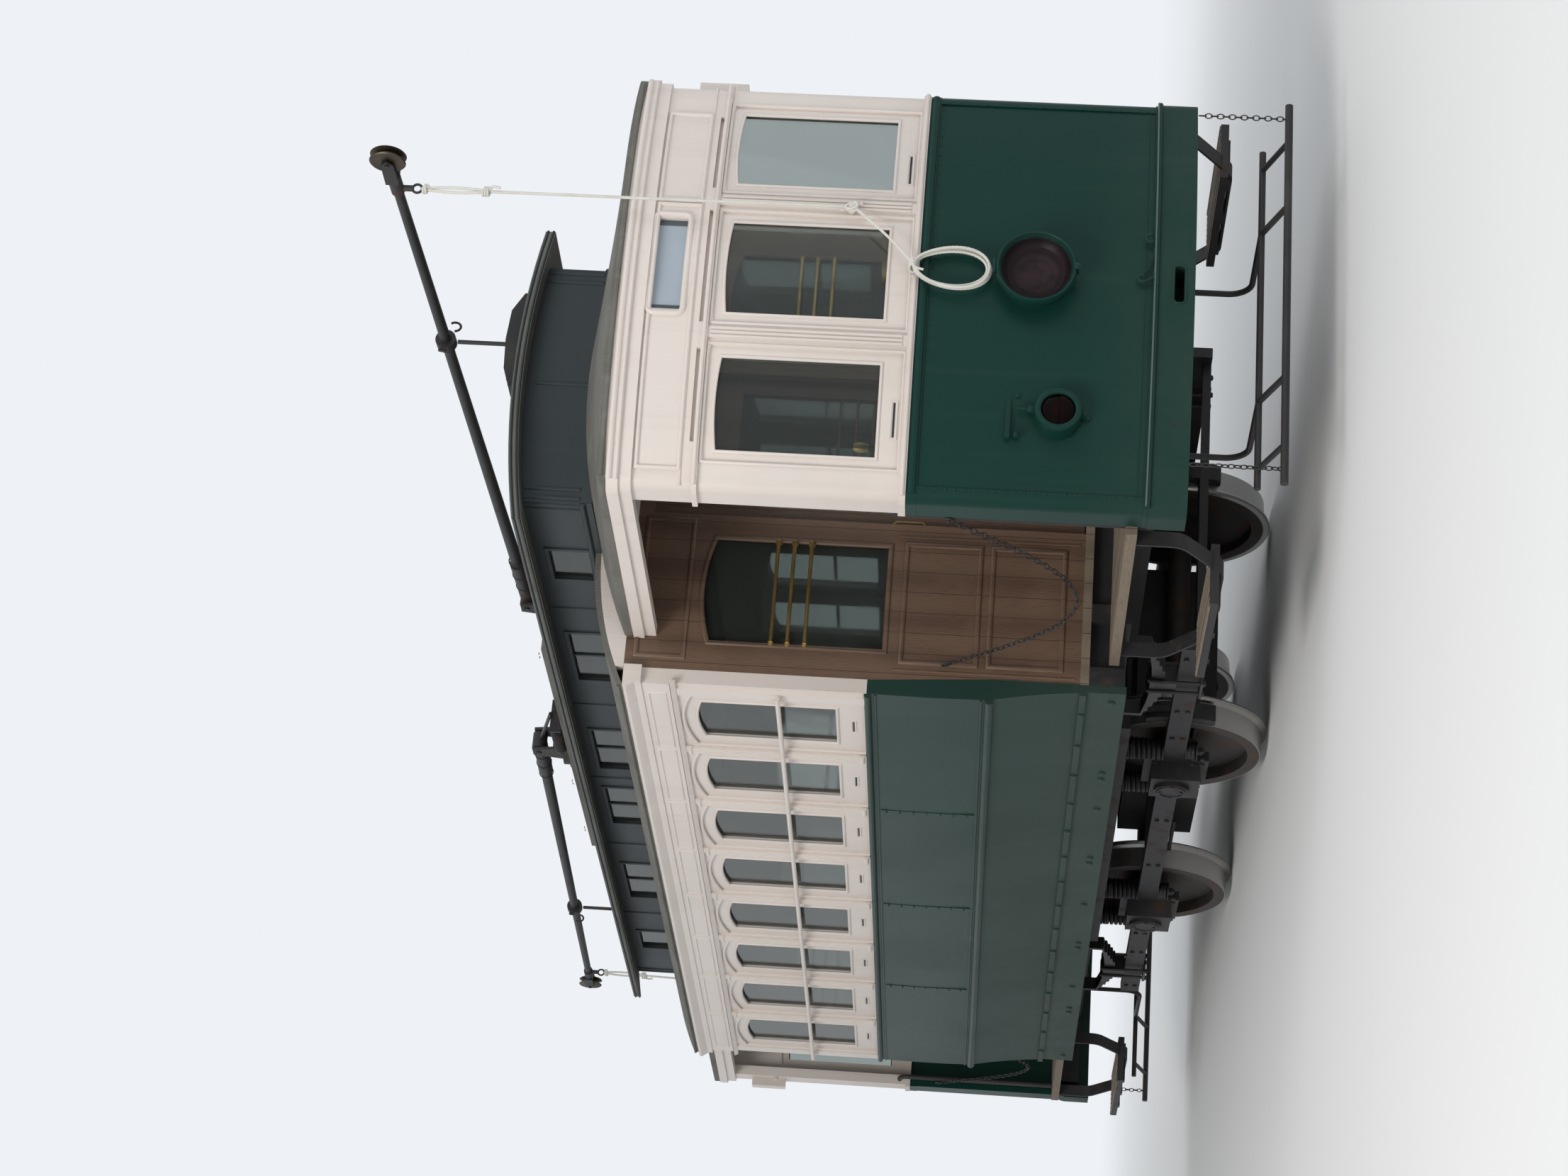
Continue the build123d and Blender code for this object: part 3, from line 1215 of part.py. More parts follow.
def rope_hank():
    """Outer shape of the coiled end of the pole's rope, hung on the dash."""
    x = bow_x(0, SILL_BAND_OUT) + CLEAR + HANK_ROPE / 2
    y = HANK_Y
    half = (HANK_W - HANK_ROPE) / 2
    high = HANK_TOP - HANK_ROPE / 2 - half
    low = HANK_TOP - HANK_H + HANK_ROPE / 2 + half
    loop = [
        Line((x, y - half, low), (x, y - half, high)),
        ThreePointArc((x, y - half, high), (x, y, high + half), (x, y + half, high)),
        Line((x, y + half, high), (x, y + half, low)),
        ThreePointArc((x, y + half, low), (x, y, low - half), (x, y - half, low)),
    ]
    path = Wire(loop)
    start = Plane(origin=(x, y - half, low), z_dir=(0, 0, 1))
    return sweep(start * Circle(HANK_ROPE / 2), path=path)


# The pieces

near_side = side_panel()
near_frame = window_frame()
near_sashes, near_panes = side_sashes()
save("side_panels", both_sides([near_side]))
save("window_frames", both_sides([near_frame]))
save("side_sashes", both_sides(near_sashes))
save("side_glass", both_sides(near_panes))
save("guard_rails", both_sides([guard_rail()]))

monitor_under = under_monitor(MONITOR_EDGE_Z)
monitor_over = under_monitor(MONITOR_EDGE_Z + MONITOR_T)
front_hood = hood()
below_hoods = both_ends([under_hood(0)])
raised_walls = clerestory() & monitor_under
for space in below_hoods:
    raised_walls -= space
save("clerestory", raised_walls)
save("clerestory_glass", both_sides(clerestory_glass()))
save("monitor_roof", monitor_over - monitor_under)
save("hoods", both_ends([front_hood]))
save("deck_roof", both_sides([deck_strip(DECK_T, -HALF_SALOON, HALF_SALOON)]))

save("bulkheads", both_ends([bulkhead() - raised_walls + door_track()]))
leaf, leaf_pane = door()
save("door_front", leaf)
save("door_rear", other_end(leaf))
save("door_glass_front", leaf_pane)
save("door_glass_rear", other_end(leaf_pane))

save("underframe", underframe())
save("saloon_floor", saloon_floor())
save("platforms", both_ends([platform()]))
save("steps", all_corners([step()]))
save("benches", both_sides([bench()]))
save("controllers", both_ends([controller()]))
save("brake_columns", both_ends([brake_column()]))

front_frame = end_frame(under_hood(HOOD_T))
front_sashes, front_glass = end_sashes()
bulkhead_x = HALF_SALOON - BULKHEAD_T / 2
bulkhead_glass = bulkhead_lights(bulkhead_x - GLASS_T / 2, bulkhead_x + GLASS_T / 2)
save("dashes", both_ends([dash()]))
save("bumpers", both_ends([bumper()]))
save("end_frames", both_ends([front_frame]))
save("end_sashes", both_ends(front_sashes))
save("end_glass", both_ends(front_glass + bulkhead_glass))
save("sign_blinds", both_ends([sign_blind()]))

front_skin = extrude(bow_plan(0, 0, BUMPER_Z), amount=FRONT_SILL_Z - BUMPER_Z, dir=(0, 0, 1))
lamp, lamp_glass = headlight(front_skin)
marker, lens = marker_lamp(front_skin)
save("headlights", both_ends([lamp]))
save("headlight_glass", both_ends([lamp_glass]))
save("marker_lamps", both_ends(marker))
save("marker_lenses", both_ends([lens]))
save("lifeguards", both_ends([lifeguard()]))
save("grab_rails", all_corners([grab_rail()]))
save("corner_boxes", both_ends([corner_box(front_frame)]))
save("rope_hanks", both_ends([rope_hank()]))

save("trolley_planks", trolley_planks(monitor_over))
save("pole_rests", both_ends([pole_rest(monitor_over)]))
save("trolley_feet", both_ends([trolley_foot()]))
pole = trolley_pole()
fittings = pole_fittings(pole)
for end, turn in (("front", lambda s: s), ("rear", other_end)):
    save(f"trolley_base_{end}", turn(trolley_base()))
    save(f"trolley_pole_{end}", turn(pole))
    save(f"pole_fittings_{end}", [turn(piece) for piece in fittings])
    save(f"trolley_wheel_{end}", turn(trolley_wheel()))
    save(f"wheelset_{end}", turn(wheelset()))

save("truck_frame", [truck_frame()] + both_sides([top_chord()]))
save("axleboxes", all_corners([axlebox()]))
save("coil_springs", both_sides(coil_springs()))
save("leaf_springs", all_corners([leaf_spring()]))
save("motors", both_ends([motor()]))
save("brake_shoes", all_corners([brake_shoe()]))
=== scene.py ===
"""A small double-ended tram with a timber saloon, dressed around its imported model."""
import math

import bmesh
import bpy
import numpy as np
from bpy.props import FloatProperty, FloatVectorProperty, IntProperty, PointerProperty
from mathutils import Matrix, Vector


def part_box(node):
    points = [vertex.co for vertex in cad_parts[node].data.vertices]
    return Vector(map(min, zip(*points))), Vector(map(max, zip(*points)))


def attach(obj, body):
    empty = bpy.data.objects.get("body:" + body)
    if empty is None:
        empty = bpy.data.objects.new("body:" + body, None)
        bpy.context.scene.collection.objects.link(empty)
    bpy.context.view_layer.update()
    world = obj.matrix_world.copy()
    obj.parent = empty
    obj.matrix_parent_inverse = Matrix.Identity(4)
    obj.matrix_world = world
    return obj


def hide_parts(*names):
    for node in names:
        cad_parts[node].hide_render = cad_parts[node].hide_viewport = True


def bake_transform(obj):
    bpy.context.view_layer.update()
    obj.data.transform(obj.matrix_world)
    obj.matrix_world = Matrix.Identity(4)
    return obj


bl_info = {
    "name": "Timber tram",
    "version": (1, 0, 0),
    "blender": (4, 5, 0),
    "location": "View3D > Sidebar > Tram",
    "description": "Trim, springs, rope and finishes for a small double-ended tram",
    "category": "Object",
}

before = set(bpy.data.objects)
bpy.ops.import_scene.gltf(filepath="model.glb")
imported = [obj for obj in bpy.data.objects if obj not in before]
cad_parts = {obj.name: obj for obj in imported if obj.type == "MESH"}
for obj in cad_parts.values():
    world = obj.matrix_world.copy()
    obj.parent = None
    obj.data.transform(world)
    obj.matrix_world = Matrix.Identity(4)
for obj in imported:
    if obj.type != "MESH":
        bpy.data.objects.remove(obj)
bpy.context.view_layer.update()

# Sizes of the CAD model that the trim follows, in metres
PITCH = 0.61
BAYS = np.arange(-3.5, 4) * PITCH
POSTS = np.arange(-4, 5) * PITCH
HALF_SALOON = 2.51
SIDE_Y = 1.083
SKIRT_Y = 1.027
FLOOR_Z = 0.881
BELT_Z = 1.237
SILL_Z = 1.725
SPRING_Z = 2.437
ARCH_RISE = 0.042
DRIP_Z = 2.514
CORNICE_Z = 2.698
PLATFORM_Z = 0.770
DASH_X = 3.83
BOW = 0.133
DASH_Y = 0.867
BOW_R = (DASH_Y ** 2 + BOW ** 2) / (2 * BOW)
BOW_C = DASH_X + BOW - BOW_R
BUMPER_Z = 0.699
FRONT_SILL_Z = 1.579
FRONT_DRIP_Z = 2.362
FRONT_CORNICE_Z = 2.673
SASH_LOW = 1.610
PANE_LOW = 1.693
PANE_SPRING = 2.288
PANE_RISE = 0.013
CENTRE_PANE = (-0.198, 0.198)
SIDE_PANE = (0.368, 0.727)
FRONT_POST_Y = 0.283
LIGHT_Y = 0.53
LIGHT_X = 2.96
LIGHT_LOW = 2.893
LIGHT_HIGH = 3.055
LIGHTS = ((-2.52, -2.25), (-1.69, -1.19), (-0.6, -0.13), (0.13, 0.6), (1.19, 1.69), (2.25, 2.52))
MONITOR_X = 3.05
MONITOR_Y = 0.65
MONITOR_EDGE_Z = 3.097
MONITOR_CROWN = 0.062
POLE_Y = 0.185
POLE_BASE_X = 0.45
POLE_PIVOT_Z = 3.443
POLE_RISE = 0.026
BAND_X = 4.1
REST_X = 2.93
HANK_Y = 0.008
HANK_DEEP = 0.034
HANK_WIDE = 0.093
HANK_TURNS = 3
AXLE_X = 0.915
AXLE_Z = 0.405
TREAD_R = 0.38
FRAME_Y = 0.68
LAMP_Z = 1.147
SLOT_Z = 0.617
LAMP_FACE_X = DASH_X + BOW + 0.096
MARKER_Y = -0.545
MARKER_Z = 1.042
POST_WIDTH = 0.104
SASH_RAIL = 0.066
HALF_OPENING = (PITCH - POST_WIDTH) / 2
HALF_PANE = HALF_OPENING - SASH_RAIL
SASH_Y = -SIDE_Y + 0.009
JOINT_POSTS = POSTS[2:-1:2]
FRONT_PANES = (CENTRE_PANE, SIDE_PANE, (-SIDE_PANE[1], -SIDE_PANE[0]))
FRONT_PULLS = ((0.405, 0.550), (-0.650, -0.510))
AXLES = (-AXLE_X, AXLE_X)
COIL_REACH = 0.195
FRAME_LOW = 0.370
FRAME_TOP = 0.465
CHORD_LOW = 0.625
REBOUND_Z = 0.318
LEAF_X = 1.9

# The camera, solved from the photograph: its place, its three directions, and how far the frame's
# middle lies to the right of the solved axis and above it, in the same pixels as the focal length
CAMERA_AT = (14.47, -6.136, 1.224)
CAMERA_AHEAD = Vector((-0.862, 0.506, 0.035))
CAMERA_RIGHT = Vector((0.507, 0.8607, 0.04615))
CAMERA_UP = Vector((0.00688, -0.05759, 0.99829))
FOCAL_PX = 2372.97
MIDDLE_RIGHT_PX = -234.5
MIDDLE_UP_PX = 84.0
CAMERA_LENS = 75.0

# Directions that the trim stands out in
AHEAD = (1, 0, 0)
OUTWARD = (0, -1, 0)
INWARD = (0, 1, 0)
UPWARD = (0, 0, 1)


# Shapes, worked out as whole arrays

def grid(points, close_rows=False, close_cols=False, capped=False):
    """Surface through a grid of points: face (i, j) joins corners (i, j), (i, j+1), (i+1, j+1) and
    (i+1, j). A capped surface runs in to the mean of its first and last rows."""
    points = np.asarray(points, dtype=float)
    if capped:
        first = np.broadcast_to(points[0].mean(axis=0), points[:1].shape)
        last = np.broadcast_to(points[-1].mean(axis=0), points[:1].shape)
        points = np.concatenate([first, points, last])
    rows, cols = points.shape[:2]
    i, j = np.meshgrid(np.arange(rows if close_rows else rows - 1),
                       np.arange(cols if close_cols else cols - 1), indexing="ij")
    k = (i + 1) % rows
    m = (j + 1) % cols
    faces = np.stack([i * cols + j, i * cols + m, k * cols + m, k * cols + j], axis=-1)
    return points.reshape(-1, 3), faces.reshape(-1, 4)


def joined(*surfaces):
    """One surface out of several, each one's faces moved on by the points before it."""
    points, faces, start = [], [], 0
    for p, f in surfaces:
        points.append(p)
        faces.append(f + start)
        start += len(p)
    return np.concatenate(points), np.concatenate(faces)


def turned(surface):
    """The surface turned half round the upright axis: (x, y, z) goes to (-x, -y, z)."""
    points, faces = surface
    return points * (-1, -1, 1), faces


def across(surface):
    """The surface mirrored to the other side: (x, y, z) goes to (x, -y, z), faces reversed."""
    points, faces = surface
    return points * (1, -1, 1), faces[:, ::-1]


def once(surface):
    """The surface as it is."""
    return surface


def ends(surface):
    """The surface at both ends of the car."""
    return joined(surface, turned(surface))


def sides(surface):
    """The surface on both sides of the car."""
    return joined(surface, across(surface))


def corners(surface):
    """The surface at all four corners of the car."""
    return ends(sides(surface))


def copies(surface, places):
    """The surface moved to each of the places: p + place."""
    points, faces = surface
    places = np.asarray(places, dtype=float)
    moved = (points[None] + places[:, None]).reshape(-1, 3)
    steps = np.arange(len(places))[:, None, None] * len(points)
    return moved, (faces[None] + steps).reshape(-1, 4)


CAR_ENDS = (("front", once), ("rear", turned))


def unit(v):
    """Vectors brought to a length of 1: v / |v|."""
    return v / np.maximum(np.linalg.norm(v, axis=-1, keepdims=True), 1e-12)


def carried(profile, path, out, closed=False):
    """A profile carried along a path: p(s, k) = path(s) + side(s) a(k) m(s) + out(s) b(k), where side
    is the cross product of the path's direction and out, and m = 1 / cos(half the turn) keeps the
    width at a corner."""
    path = np.asarray(path, dtype=float)
    profile = np.asarray(profile, dtype=float)
    step = unit(np.roll(path, -1, axis=0) - path)
    before = np.roll(step, 1, axis=0)
    if not closed:
        step[-1] = step[-2]
        before[0] = step[0]
    along = unit(step + before)
    out = np.broadcast_to(np.asarray(out, dtype=float), path.shape)
    out = unit(out - (out * along).sum(axis=1, keepdims=True) * along)
    wide = 1 / np.maximum((along * step).sum(axis=1, keepdims=True), 0.4)
    side = np.cross(along, out) * wide
    points = path[:, None] + side[:, None] * profile[None, :, :1] + out[:, None] * profile[None, :, 1:]
    return grid(points, close_rows=closed, close_cols=True, capped=not closed)


def ring_profile(radius, count=8, flat=1.0):
    """Round profile: (r cos t, r flat sin t)."""
    t = full_turn(count)
    return np.stack([radius * np.cos(t), radius * flat * np.sin(t)], axis=1)


def bead_profile(width, height, root=0.002):
    """Half-round moulding let in by root: (w/2 cos t, h sin t) for t from 0 to pi."""
    t = np.linspace(0, np.pi, 7)
    arc = np.stack([width / 2 * np.cos(t), height * np.sin(t)], axis=1)
    return np.concatenate([arc, [[-width / 2, -root], [width / 2, -root]]])


def strip_profile(width, height, root=0.002):
    """Flat strip with eased edges, let in by root."""
    w = width / 2
    e = min(height, w) * 0.3
    return np.array([[w, -root], [w, height - e], [w - e, height], [-w + e, height], [-w, height - e],
                     [-w, -root]])


def tube(path, radius, out=UPWARD, count=8, closed=False):
    """Round wire along a path."""
    return carried(ring_profile(radius, count), path, out, closed)


def along_car(profile, x0, x1, y, z, out=OUTWARD):
    """Straight moulding that runs along the car."""
    return carried(profile, [[x0, y, z], [x1, y, z]], out)


def upright(profile, x, y, z0, z1, out=OUTWARD):
    """Straight moulding that stands upright."""
    return carried(profile, [[x, y, z0], [x, y, z1]], out)


def arc(centre, a, b, t):
    """Points of an ellipse: centre + a cos t + b sin t."""
    t = np.asarray(t)[:, None]
    return np.asarray(centre) + np.asarray(a) * np.cos(t) + np.asarray(b) * np.sin(t)


def full_turn(count):
    """Angles once round, the last one short of the first."""
    return np.arange(count) * 2 * np.pi / count


def hanging(a, b, drop, count):
    """Points from a to b that sag by drop sin(pi u)."""
    u = np.linspace(0, 1, count)[:, None]
    a = np.asarray(a, dtype=float)
    return a + u * (np.asarray(b) - a) - np.array((0, 0, drop)) * np.sin(np.pi * u)


def measured(points):
    """Length of a line of points, the sum of |p(i+1) - p(i)|, and the function that gives the place
    at any distance along it, straight between the points."""
    run = np.concatenate([[0], np.cumsum(np.linalg.norm(np.diff(points, axis=0), axis=1))])
    return run[-1], lambda at: np.stack([np.interp(at, run, points[:, k]) for k in range(3)], axis=1)


def bar(a, b, width, height, out):
    """Straight flat bar from a to b with eased edges, standing half its height each side."""
    profile = strip_profile(width, height / 2, root=height / 2)
    return carried(profile, np.array([a, b], dtype=float), out)


def basis(axis):
    """Two unit vectors square to the axis and to each other."""
    axis = unit(np.asarray(axis, dtype=float))
    other = np.array([0.0, 0.0, 1.0]) if abs(axis[2]) < 0.9 else np.array([1.0, 0.0, 0.0])
    u = unit(np.cross(other, axis))
    return axis, u, np.cross(axis, u)


def turned_form(profile, centre, axis, count=32):
    """A profile of (radius, distance) turned round an axis: c + axis d + r (u cos t + v sin t)."""
    axis, u, v = basis(axis)
    profile = np.asarray(profile, dtype=float)
    circle = arc((0, 0, 0), u, v, full_turn(count))
    points = np.asarray(centre, dtype=float) + axis * profile[:, 1, None, None]
    points = points + circle[None] * profile[:, 0, None, None]
    return grid(points.reshape(len(profile), count, 3), close_cols=True)


def bolts(places, axis, radius=0.009, height=0.007, count=6):
    """Bolt heads with a domed top at the places: the profile is a short skirt and a quarter round."""
    profile = [(0, -0.001), (radius, -0.001), (radius, height * 0.55), (radius * 0.72, height * 0.9),
               (0, height)]
    return copies(turned_form(profile, (0, 0, 0), axis, count), places)


def spring(x, y, z0, z1, radius, wire, turns, steps=18, count=7):
    """Coil spring: the wire's middle is (x + r cos t, y + r sin t, z0 + climb t), closed flat at both
    ends, and its section is a circle in the plane of the radius and the upright."""
    t = np.linspace(0, turns * 2 * np.pi, int(turns * steps) + 1)
    climb = np.clip((t / (2 * np.pi) - 0.7) / (turns - 1.4), 0, 1)
    z = z0 + wire / 2 + (z1 - z0 - wire) * climb
    a = full_turn(count)
    r = radius + wire / 2 * np.cos(a)[None]
    points = np.stack([x + r * np.cos(t)[:, None], y + r * np.sin(t)[:, None],
                       z[:, None] + wire / 2 * np.sin(a)[None]], axis=-1)
    return grid(points, close_cols=True, capped=True)


def bow_points(y, z, out=0.0):
    """Points on the bow front moved outwards: x = c + sqrt((r + out)^2 - y^2)."""
    y = np.asarray(y, dtype=float)
    x = BOW_C + np.sqrt((BOW_R + out) ** 2 - y ** 2)
    return np.stack([x, y, np.broadcast_to(z, y.shape)], axis=-1)


def bow_out(points):
    """Outward direction of the bow front at the points."""
    return unit((points - (BOW_C, 0, 0)) * (1, 1, 0))


def bow_strip(y0, y1, z, profile, out=0.0, count=24):
    """Moulding along the bow front at one height."""
    path = bow_points(np.linspace(y0, y1, count), z, out)
    return carried(profile, path, bow_out(path))


def bow_frame(y0, y1, z0, z1, profile, out=0.0, count=16, rise=0.0):
    """Moulding round a panel of the bow front: up one side, over the top, which rises by an arch
    4 rise t (1 - t), down the other and back along the foot."""
    t = np.linspace(0, 1, count)
    top = bow_points(y1 + (y0 - y1) * t, z1 + 4 * rise * t * (1 - t), out)
    foot = bow_points(y0 + (y1 - y0) * t, z0, out)
    path = np.concatenate([foot, top])
    return carried(profile, path, bow_out(path), closed=True)


def rounded(y0, y1, z0, z1, radius):
    """Rectangle with quarter-circle corners, each r (cos t, sin t) about its own centre."""
    t = np.linspace(0, np.pi / 2, 7)
    low_y, high_y, low_z, high_z = y0 + radius, y1 - radius, z0 + radius, z1 - radius
    quarters = []
    for k, (y, z) in enumerate(((high_y, high_z), (low_y, high_z), (low_y, low_z), (high_y, low_z))):
        a = t + k * np.pi / 2
        quarters.append(np.stack([y + radius * np.cos(a), z + radius * np.sin(a)], axis=1))
    return np.concatenate(quarters)


def bow_ring(profile, y0, y1, z0, z1, radius, out=0.0):
    """Moulding round a rectangle with rounded corners on the bow front."""
    path = rounded(y0, y1, z0, z1, radius)
    at = bow_points(path[:, 0], path[:, 1], out)
    return carried(profile, at, bow_out(at), closed=True)


def panel_path(a0, a1, z0, z1, rise, axis, place):
    """Outline of an upright panel: its foot, then its top, an arch 4 rise t (1 - t) from a1 back to a0.
    The axis that it stands square to has the same place all round."""
    t = np.linspace(0, 1, 13 if rise else 2)
    top = np.stack([a1 + (a0 - a1) * t, z1 + 4 * rise * t * (1 - t)], axis=1)
    return np.insert(np.concatenate([[[a0, z0], [a1, z0]], top]), axis, place, axis=1)


def wall_frame(x0, x1, z0, z1, y, profile, rise=0.0):
    """Moulding round a panel of the side wall."""
    return carried(profile, panel_path(x0, x1, z0, z1, rise, 1, y), OUTWARD, closed=True)


def end_frame(y0, y1, z0, z1, x, profile, rise=0.0):
    """Moulding round a panel of a bulkhead."""
    return carried(profile, panel_path(y0, y1, z0, z1, rise, 0, x), AHEAD, closed=True)


def chain(path, pitch, wire):
    """Chain along a line of points: each link is a long ring, turned a quarter from the one before.
    Its middle line is (a cos t, b sin t) in the plane of the chain and the link's own across."""
    length, place = measured(np.asarray(path, dtype=float))
    count = int(length / pitch)
    at = (np.arange(count) + 0.5) * length / count
    middle = place(at)
    along = unit(place(at + pitch / 2) - place(at - pitch / 2))
    leaning = (0.31, 0.17, 0.93)
    flat = unit(np.cross(along, leaning))
    edge = np.cross(along, flat)
    odd = (np.arange(count) % 2)[:, None]
    wide = np.where(odd, flat, edge)[:, None, None]
    deep = np.where(odd, edge, flat)[:, None, None]
    t = full_turn(12)[:, None]
    s = full_turn(5)[None]
    a = pitch / 2 + wire * 0.6
    b = a * 0.62
    radial = np.cos(s) * wire / 2
    u = ((a + radial) * np.cos(t))[None, :, :, None]
    v = ((b + radial) * np.sin(t))[None, :, :, None]
    w = (np.sin(s) * wire / 2 * np.ones_like(t))[None, :, :, None]
    points = middle[:, None, None] + along[:, None, None] * u + wide * v + deep * w
    return joined(*[grid(link, close_rows=True, close_cols=True) for link in points])


# Finishes

class Value:
    """A socket of a finish, so that its maths reads as an expression."""

    def __init__(self, finish, socket):
        self.finish = finish
        self.socket = socket

    def maths(self, operation, *others):
        """The Math node of an operation on this value and the others."""
        values = dict(enumerate((self, *others)))
        return self.finish.node("ShaderNodeMath", {"operation": operation}, values)

    def __add__(self, other):
        return self.maths("ADD", other)

    def __sub__(self, other):
        return self.maths("SUBTRACT", other)

    def __mul__(self, other):
        return self.maths("MULTIPLY", other)

    def __truediv__(self, other):
        return self.maths("DIVIDE", other)

    def __radd__(self, other):
        return self + other

    def __rsub__(self, other):
        return self * -1 + other

    __rmul__ = __mul__

    def __pow__(self, other):
        return self.maths("POWER", other)

    def __gt__(self, other):
        return self.maths("GREATER_THAN", other)

    def fract(self):
        return self.maths("FRACT")

    def root(self):
        return self.maths("SQRT")

    def wave(self):
        return self.maths("SINE")

    def size(self):
        return self.maths("ABSOLUTE")

    def between(self, low, high):
        """0 below low, 1 above high, smooth between."""
        return self.finish.node("ShaderNodeMapRange", {"interpolation_type": "SMOOTHSTEP"},
                                {"Value": self, "From Min": low, "From Max": high})


class Nodes:
    """A node tree whose nodes are added one method call at a time."""

    def __init__(self, tree):
        self.tree = tree

    def feed(self, socket, value):
        """Links the socket to a value of the tree, or sets it to a plain one."""
        if isinstance(value, Value):
            self.tree.links.new(value.socket, socket)
        else:
            socket.default_value = value

    def node(self, kind, settings, values, out=0):
        """A node of a kind, with its settings set first, then its values or links by name or place."""
        node = self.tree.nodes.new(kind)
        for key, value in settings.items():
            setattr(node, key, value)
        for key, value in values.items():
            self.feed(node.inputs[key], value)
        return Value(self, node.outputs[out])


class Finish(Nodes):
    """A material of one Principled shader, whose patterns read the object's own place."""

    def __init__(self, name):
        self.material = bpy.data.materials.new(name)
        self.material.use_nodes = True
        super().__init__(self.material.node_tree)
        self.shader = self.tree.nodes["Principled BSDF"]
        self.place = self.node("ShaderNodeTexCoord", {}, {}, out="Object")
        self.x, self.y, self.z = (self.node("ShaderNodeSeparateXYZ", {}, {0: self.place}, out=axis)
                                  for axis in "XYZ")

    def noise(self, scale, detail=3.0, stretch=None, roughness=0.55):
        """Cloudy noise, drawn out along an axis whose stretch is below 1."""
        place = self.place
        if stretch:
            place = self.node("ShaderNodeVectorMath", {"operation": "MULTIPLY"}, {0: place, 1: stretch})
        return self.node("ShaderNodeTexNoise", {}, {"Vector": place, "Scale": scale, "Detail": detail,
                                                    "Roughness": roughness})

    def off_axis(self, side, rise):
        """Distance from an axis: the root of side squared and rise squared."""
        return (side * side + rise * rise).root()

    def mix(self, factor, a, b):
        """Colour a where the factor is 0, b where it is 1."""
        def paint(colour):
            return (*colour, 1) if isinstance(colour, tuple) else colour
        values = {0: factor, 6: paint(a), 7: paint(b)}
        return self.node("ShaderNodeMix", {"data_type": "RGBA"}, values, out=2)

    def set(self, **values):
        """Sets or links the shader's sockets: Base_Color=..., Roughness=..."""
        for key, value in values.items():
            self.feed(self.shader.inputs[key.replace("_", " ")], value)

    def bump(self, height, distance, strength=1.0):
        """Relief from a height between 0 and 1."""
        self.set(Normal=self.node("ShaderNodeBump", {}, {"Height": height, "Distance": distance,
                                                         "Strength": strength}))


def colour_times(colour, k):
    """The colour made lighter or darker, no channel over 1."""
    return tuple(min(c * k, 1.0) for c in colour)


def gloss_paint(name, colour, dirt_low, dirt_high, dirt=(0.16, 0.13, 0.10), grain=(1, 1, 0.15), rough=0.26,
                dusty=0.45, shine=0.35):
    """Brush-painted gloss: faint brush strokes along the grain, cloudy fading, dust that thickens
    downwards between two heights, thin streaks that run down, and small specks of dirt."""
    f = Finish(name)
    cloud = f.noise(1.7, 4.0).between(0.35, 0.7)
    stroke = f.noise(90.0, 2.0, stretch=grain)
    fine = f.noise(420.0, 2.0)
    streak = f.noise(14.0, 4.0, stretch=(1, 1, 0.05)).between(0.52, 0.78)
    low = 1 - f.z.between(dirt_low, dirt_high)
    dust = low * (0.35 + f.noise(6.0, 5.0).between(0.3, 0.75) * 0.5)
    tone = f.mix(cloud * 0.5, colour, colour_times(colour, 0.9))
    tone = f.mix(stroke.between(0.3, 0.75) * 0.12, tone, colour_times(colour, 1.12))
    tone = f.mix(streak * dusty * 0.22 + dust * dusty, tone, dirt)
    speck = f.noise(55.0, 3.0).between(0.70, 0.76)
    tone = f.mix(speck * 0.18, tone, colour_times(dirt, 0.7))
    f.set(Base_Color=tone, Roughness=rough + dust * 0.3 + stroke * 0.10 + cloud * 0.05,
          Specular_IOR_Level=shine)
    f.bump(stroke * 0.6 + fine * 0.25, 0.0006)
    return f.material


def canvas(name, colour):
    """Painted roof canvas: a fine crossed weave, lapped seams across the car every 0.9 m, cloudy grime
    and pale worn paint."""
    f = Finish(name)
    weave = (f.x * 1500).wave() * (f.y * 1500).wave()
    seam = ((f.x / 0.9).fract() - 0.5).size() > 0.492
    grime = f.noise(3.0, 6.0).between(0.35, 0.72)
    pale = f.noise(11.0, 5.0, stretch=(0.3, 1, 1)).between(0.55, 0.72)
    tone = f.mix(grime * 0.6, colour, colour_times(colour, 0.55))
    tone = f.mix(pale * 0.35, tone, colour_times(colour, 1.7))
    tone = f.mix(seam * 0.35, tone, colour_times(colour, 0.5))
    f.set(Base_Color=tone, Roughness=0.72 + grime * 0.18)
    f.bump(weave * 0.4 + f.noise(40.0, 3.0) * 0.8 + seam * 1.4, 0.0012)
    return f.material


def iron(name, colour=(0.022, 0.022, 0.024), rust=0.35, rough=0.55):
    """Black iron: black paint under clouds of grey dust, brown rust in patches and a rough skin."""
    f = Finish(name)
    patch = f.noise(9.0, 6.0).between(0.56, 0.74)
    dust = f.noise(4.0, 4.0).between(0.4, 0.8)
    tone = f.mix(dust * 0.45, colour, (0.075, 0.068, 0.06))
    tone = f.mix(patch * rust, tone, (0.13, 0.055, 0.028))
    f.set(Base_Color=tone, Roughness=rough + patch * 0.25 + dust * 0.1, Metallic=0.25)
    f.bump(f.noise(160.0, 4.0) * 0.6 + patch * 0.4, 0.0011)
    return f.material


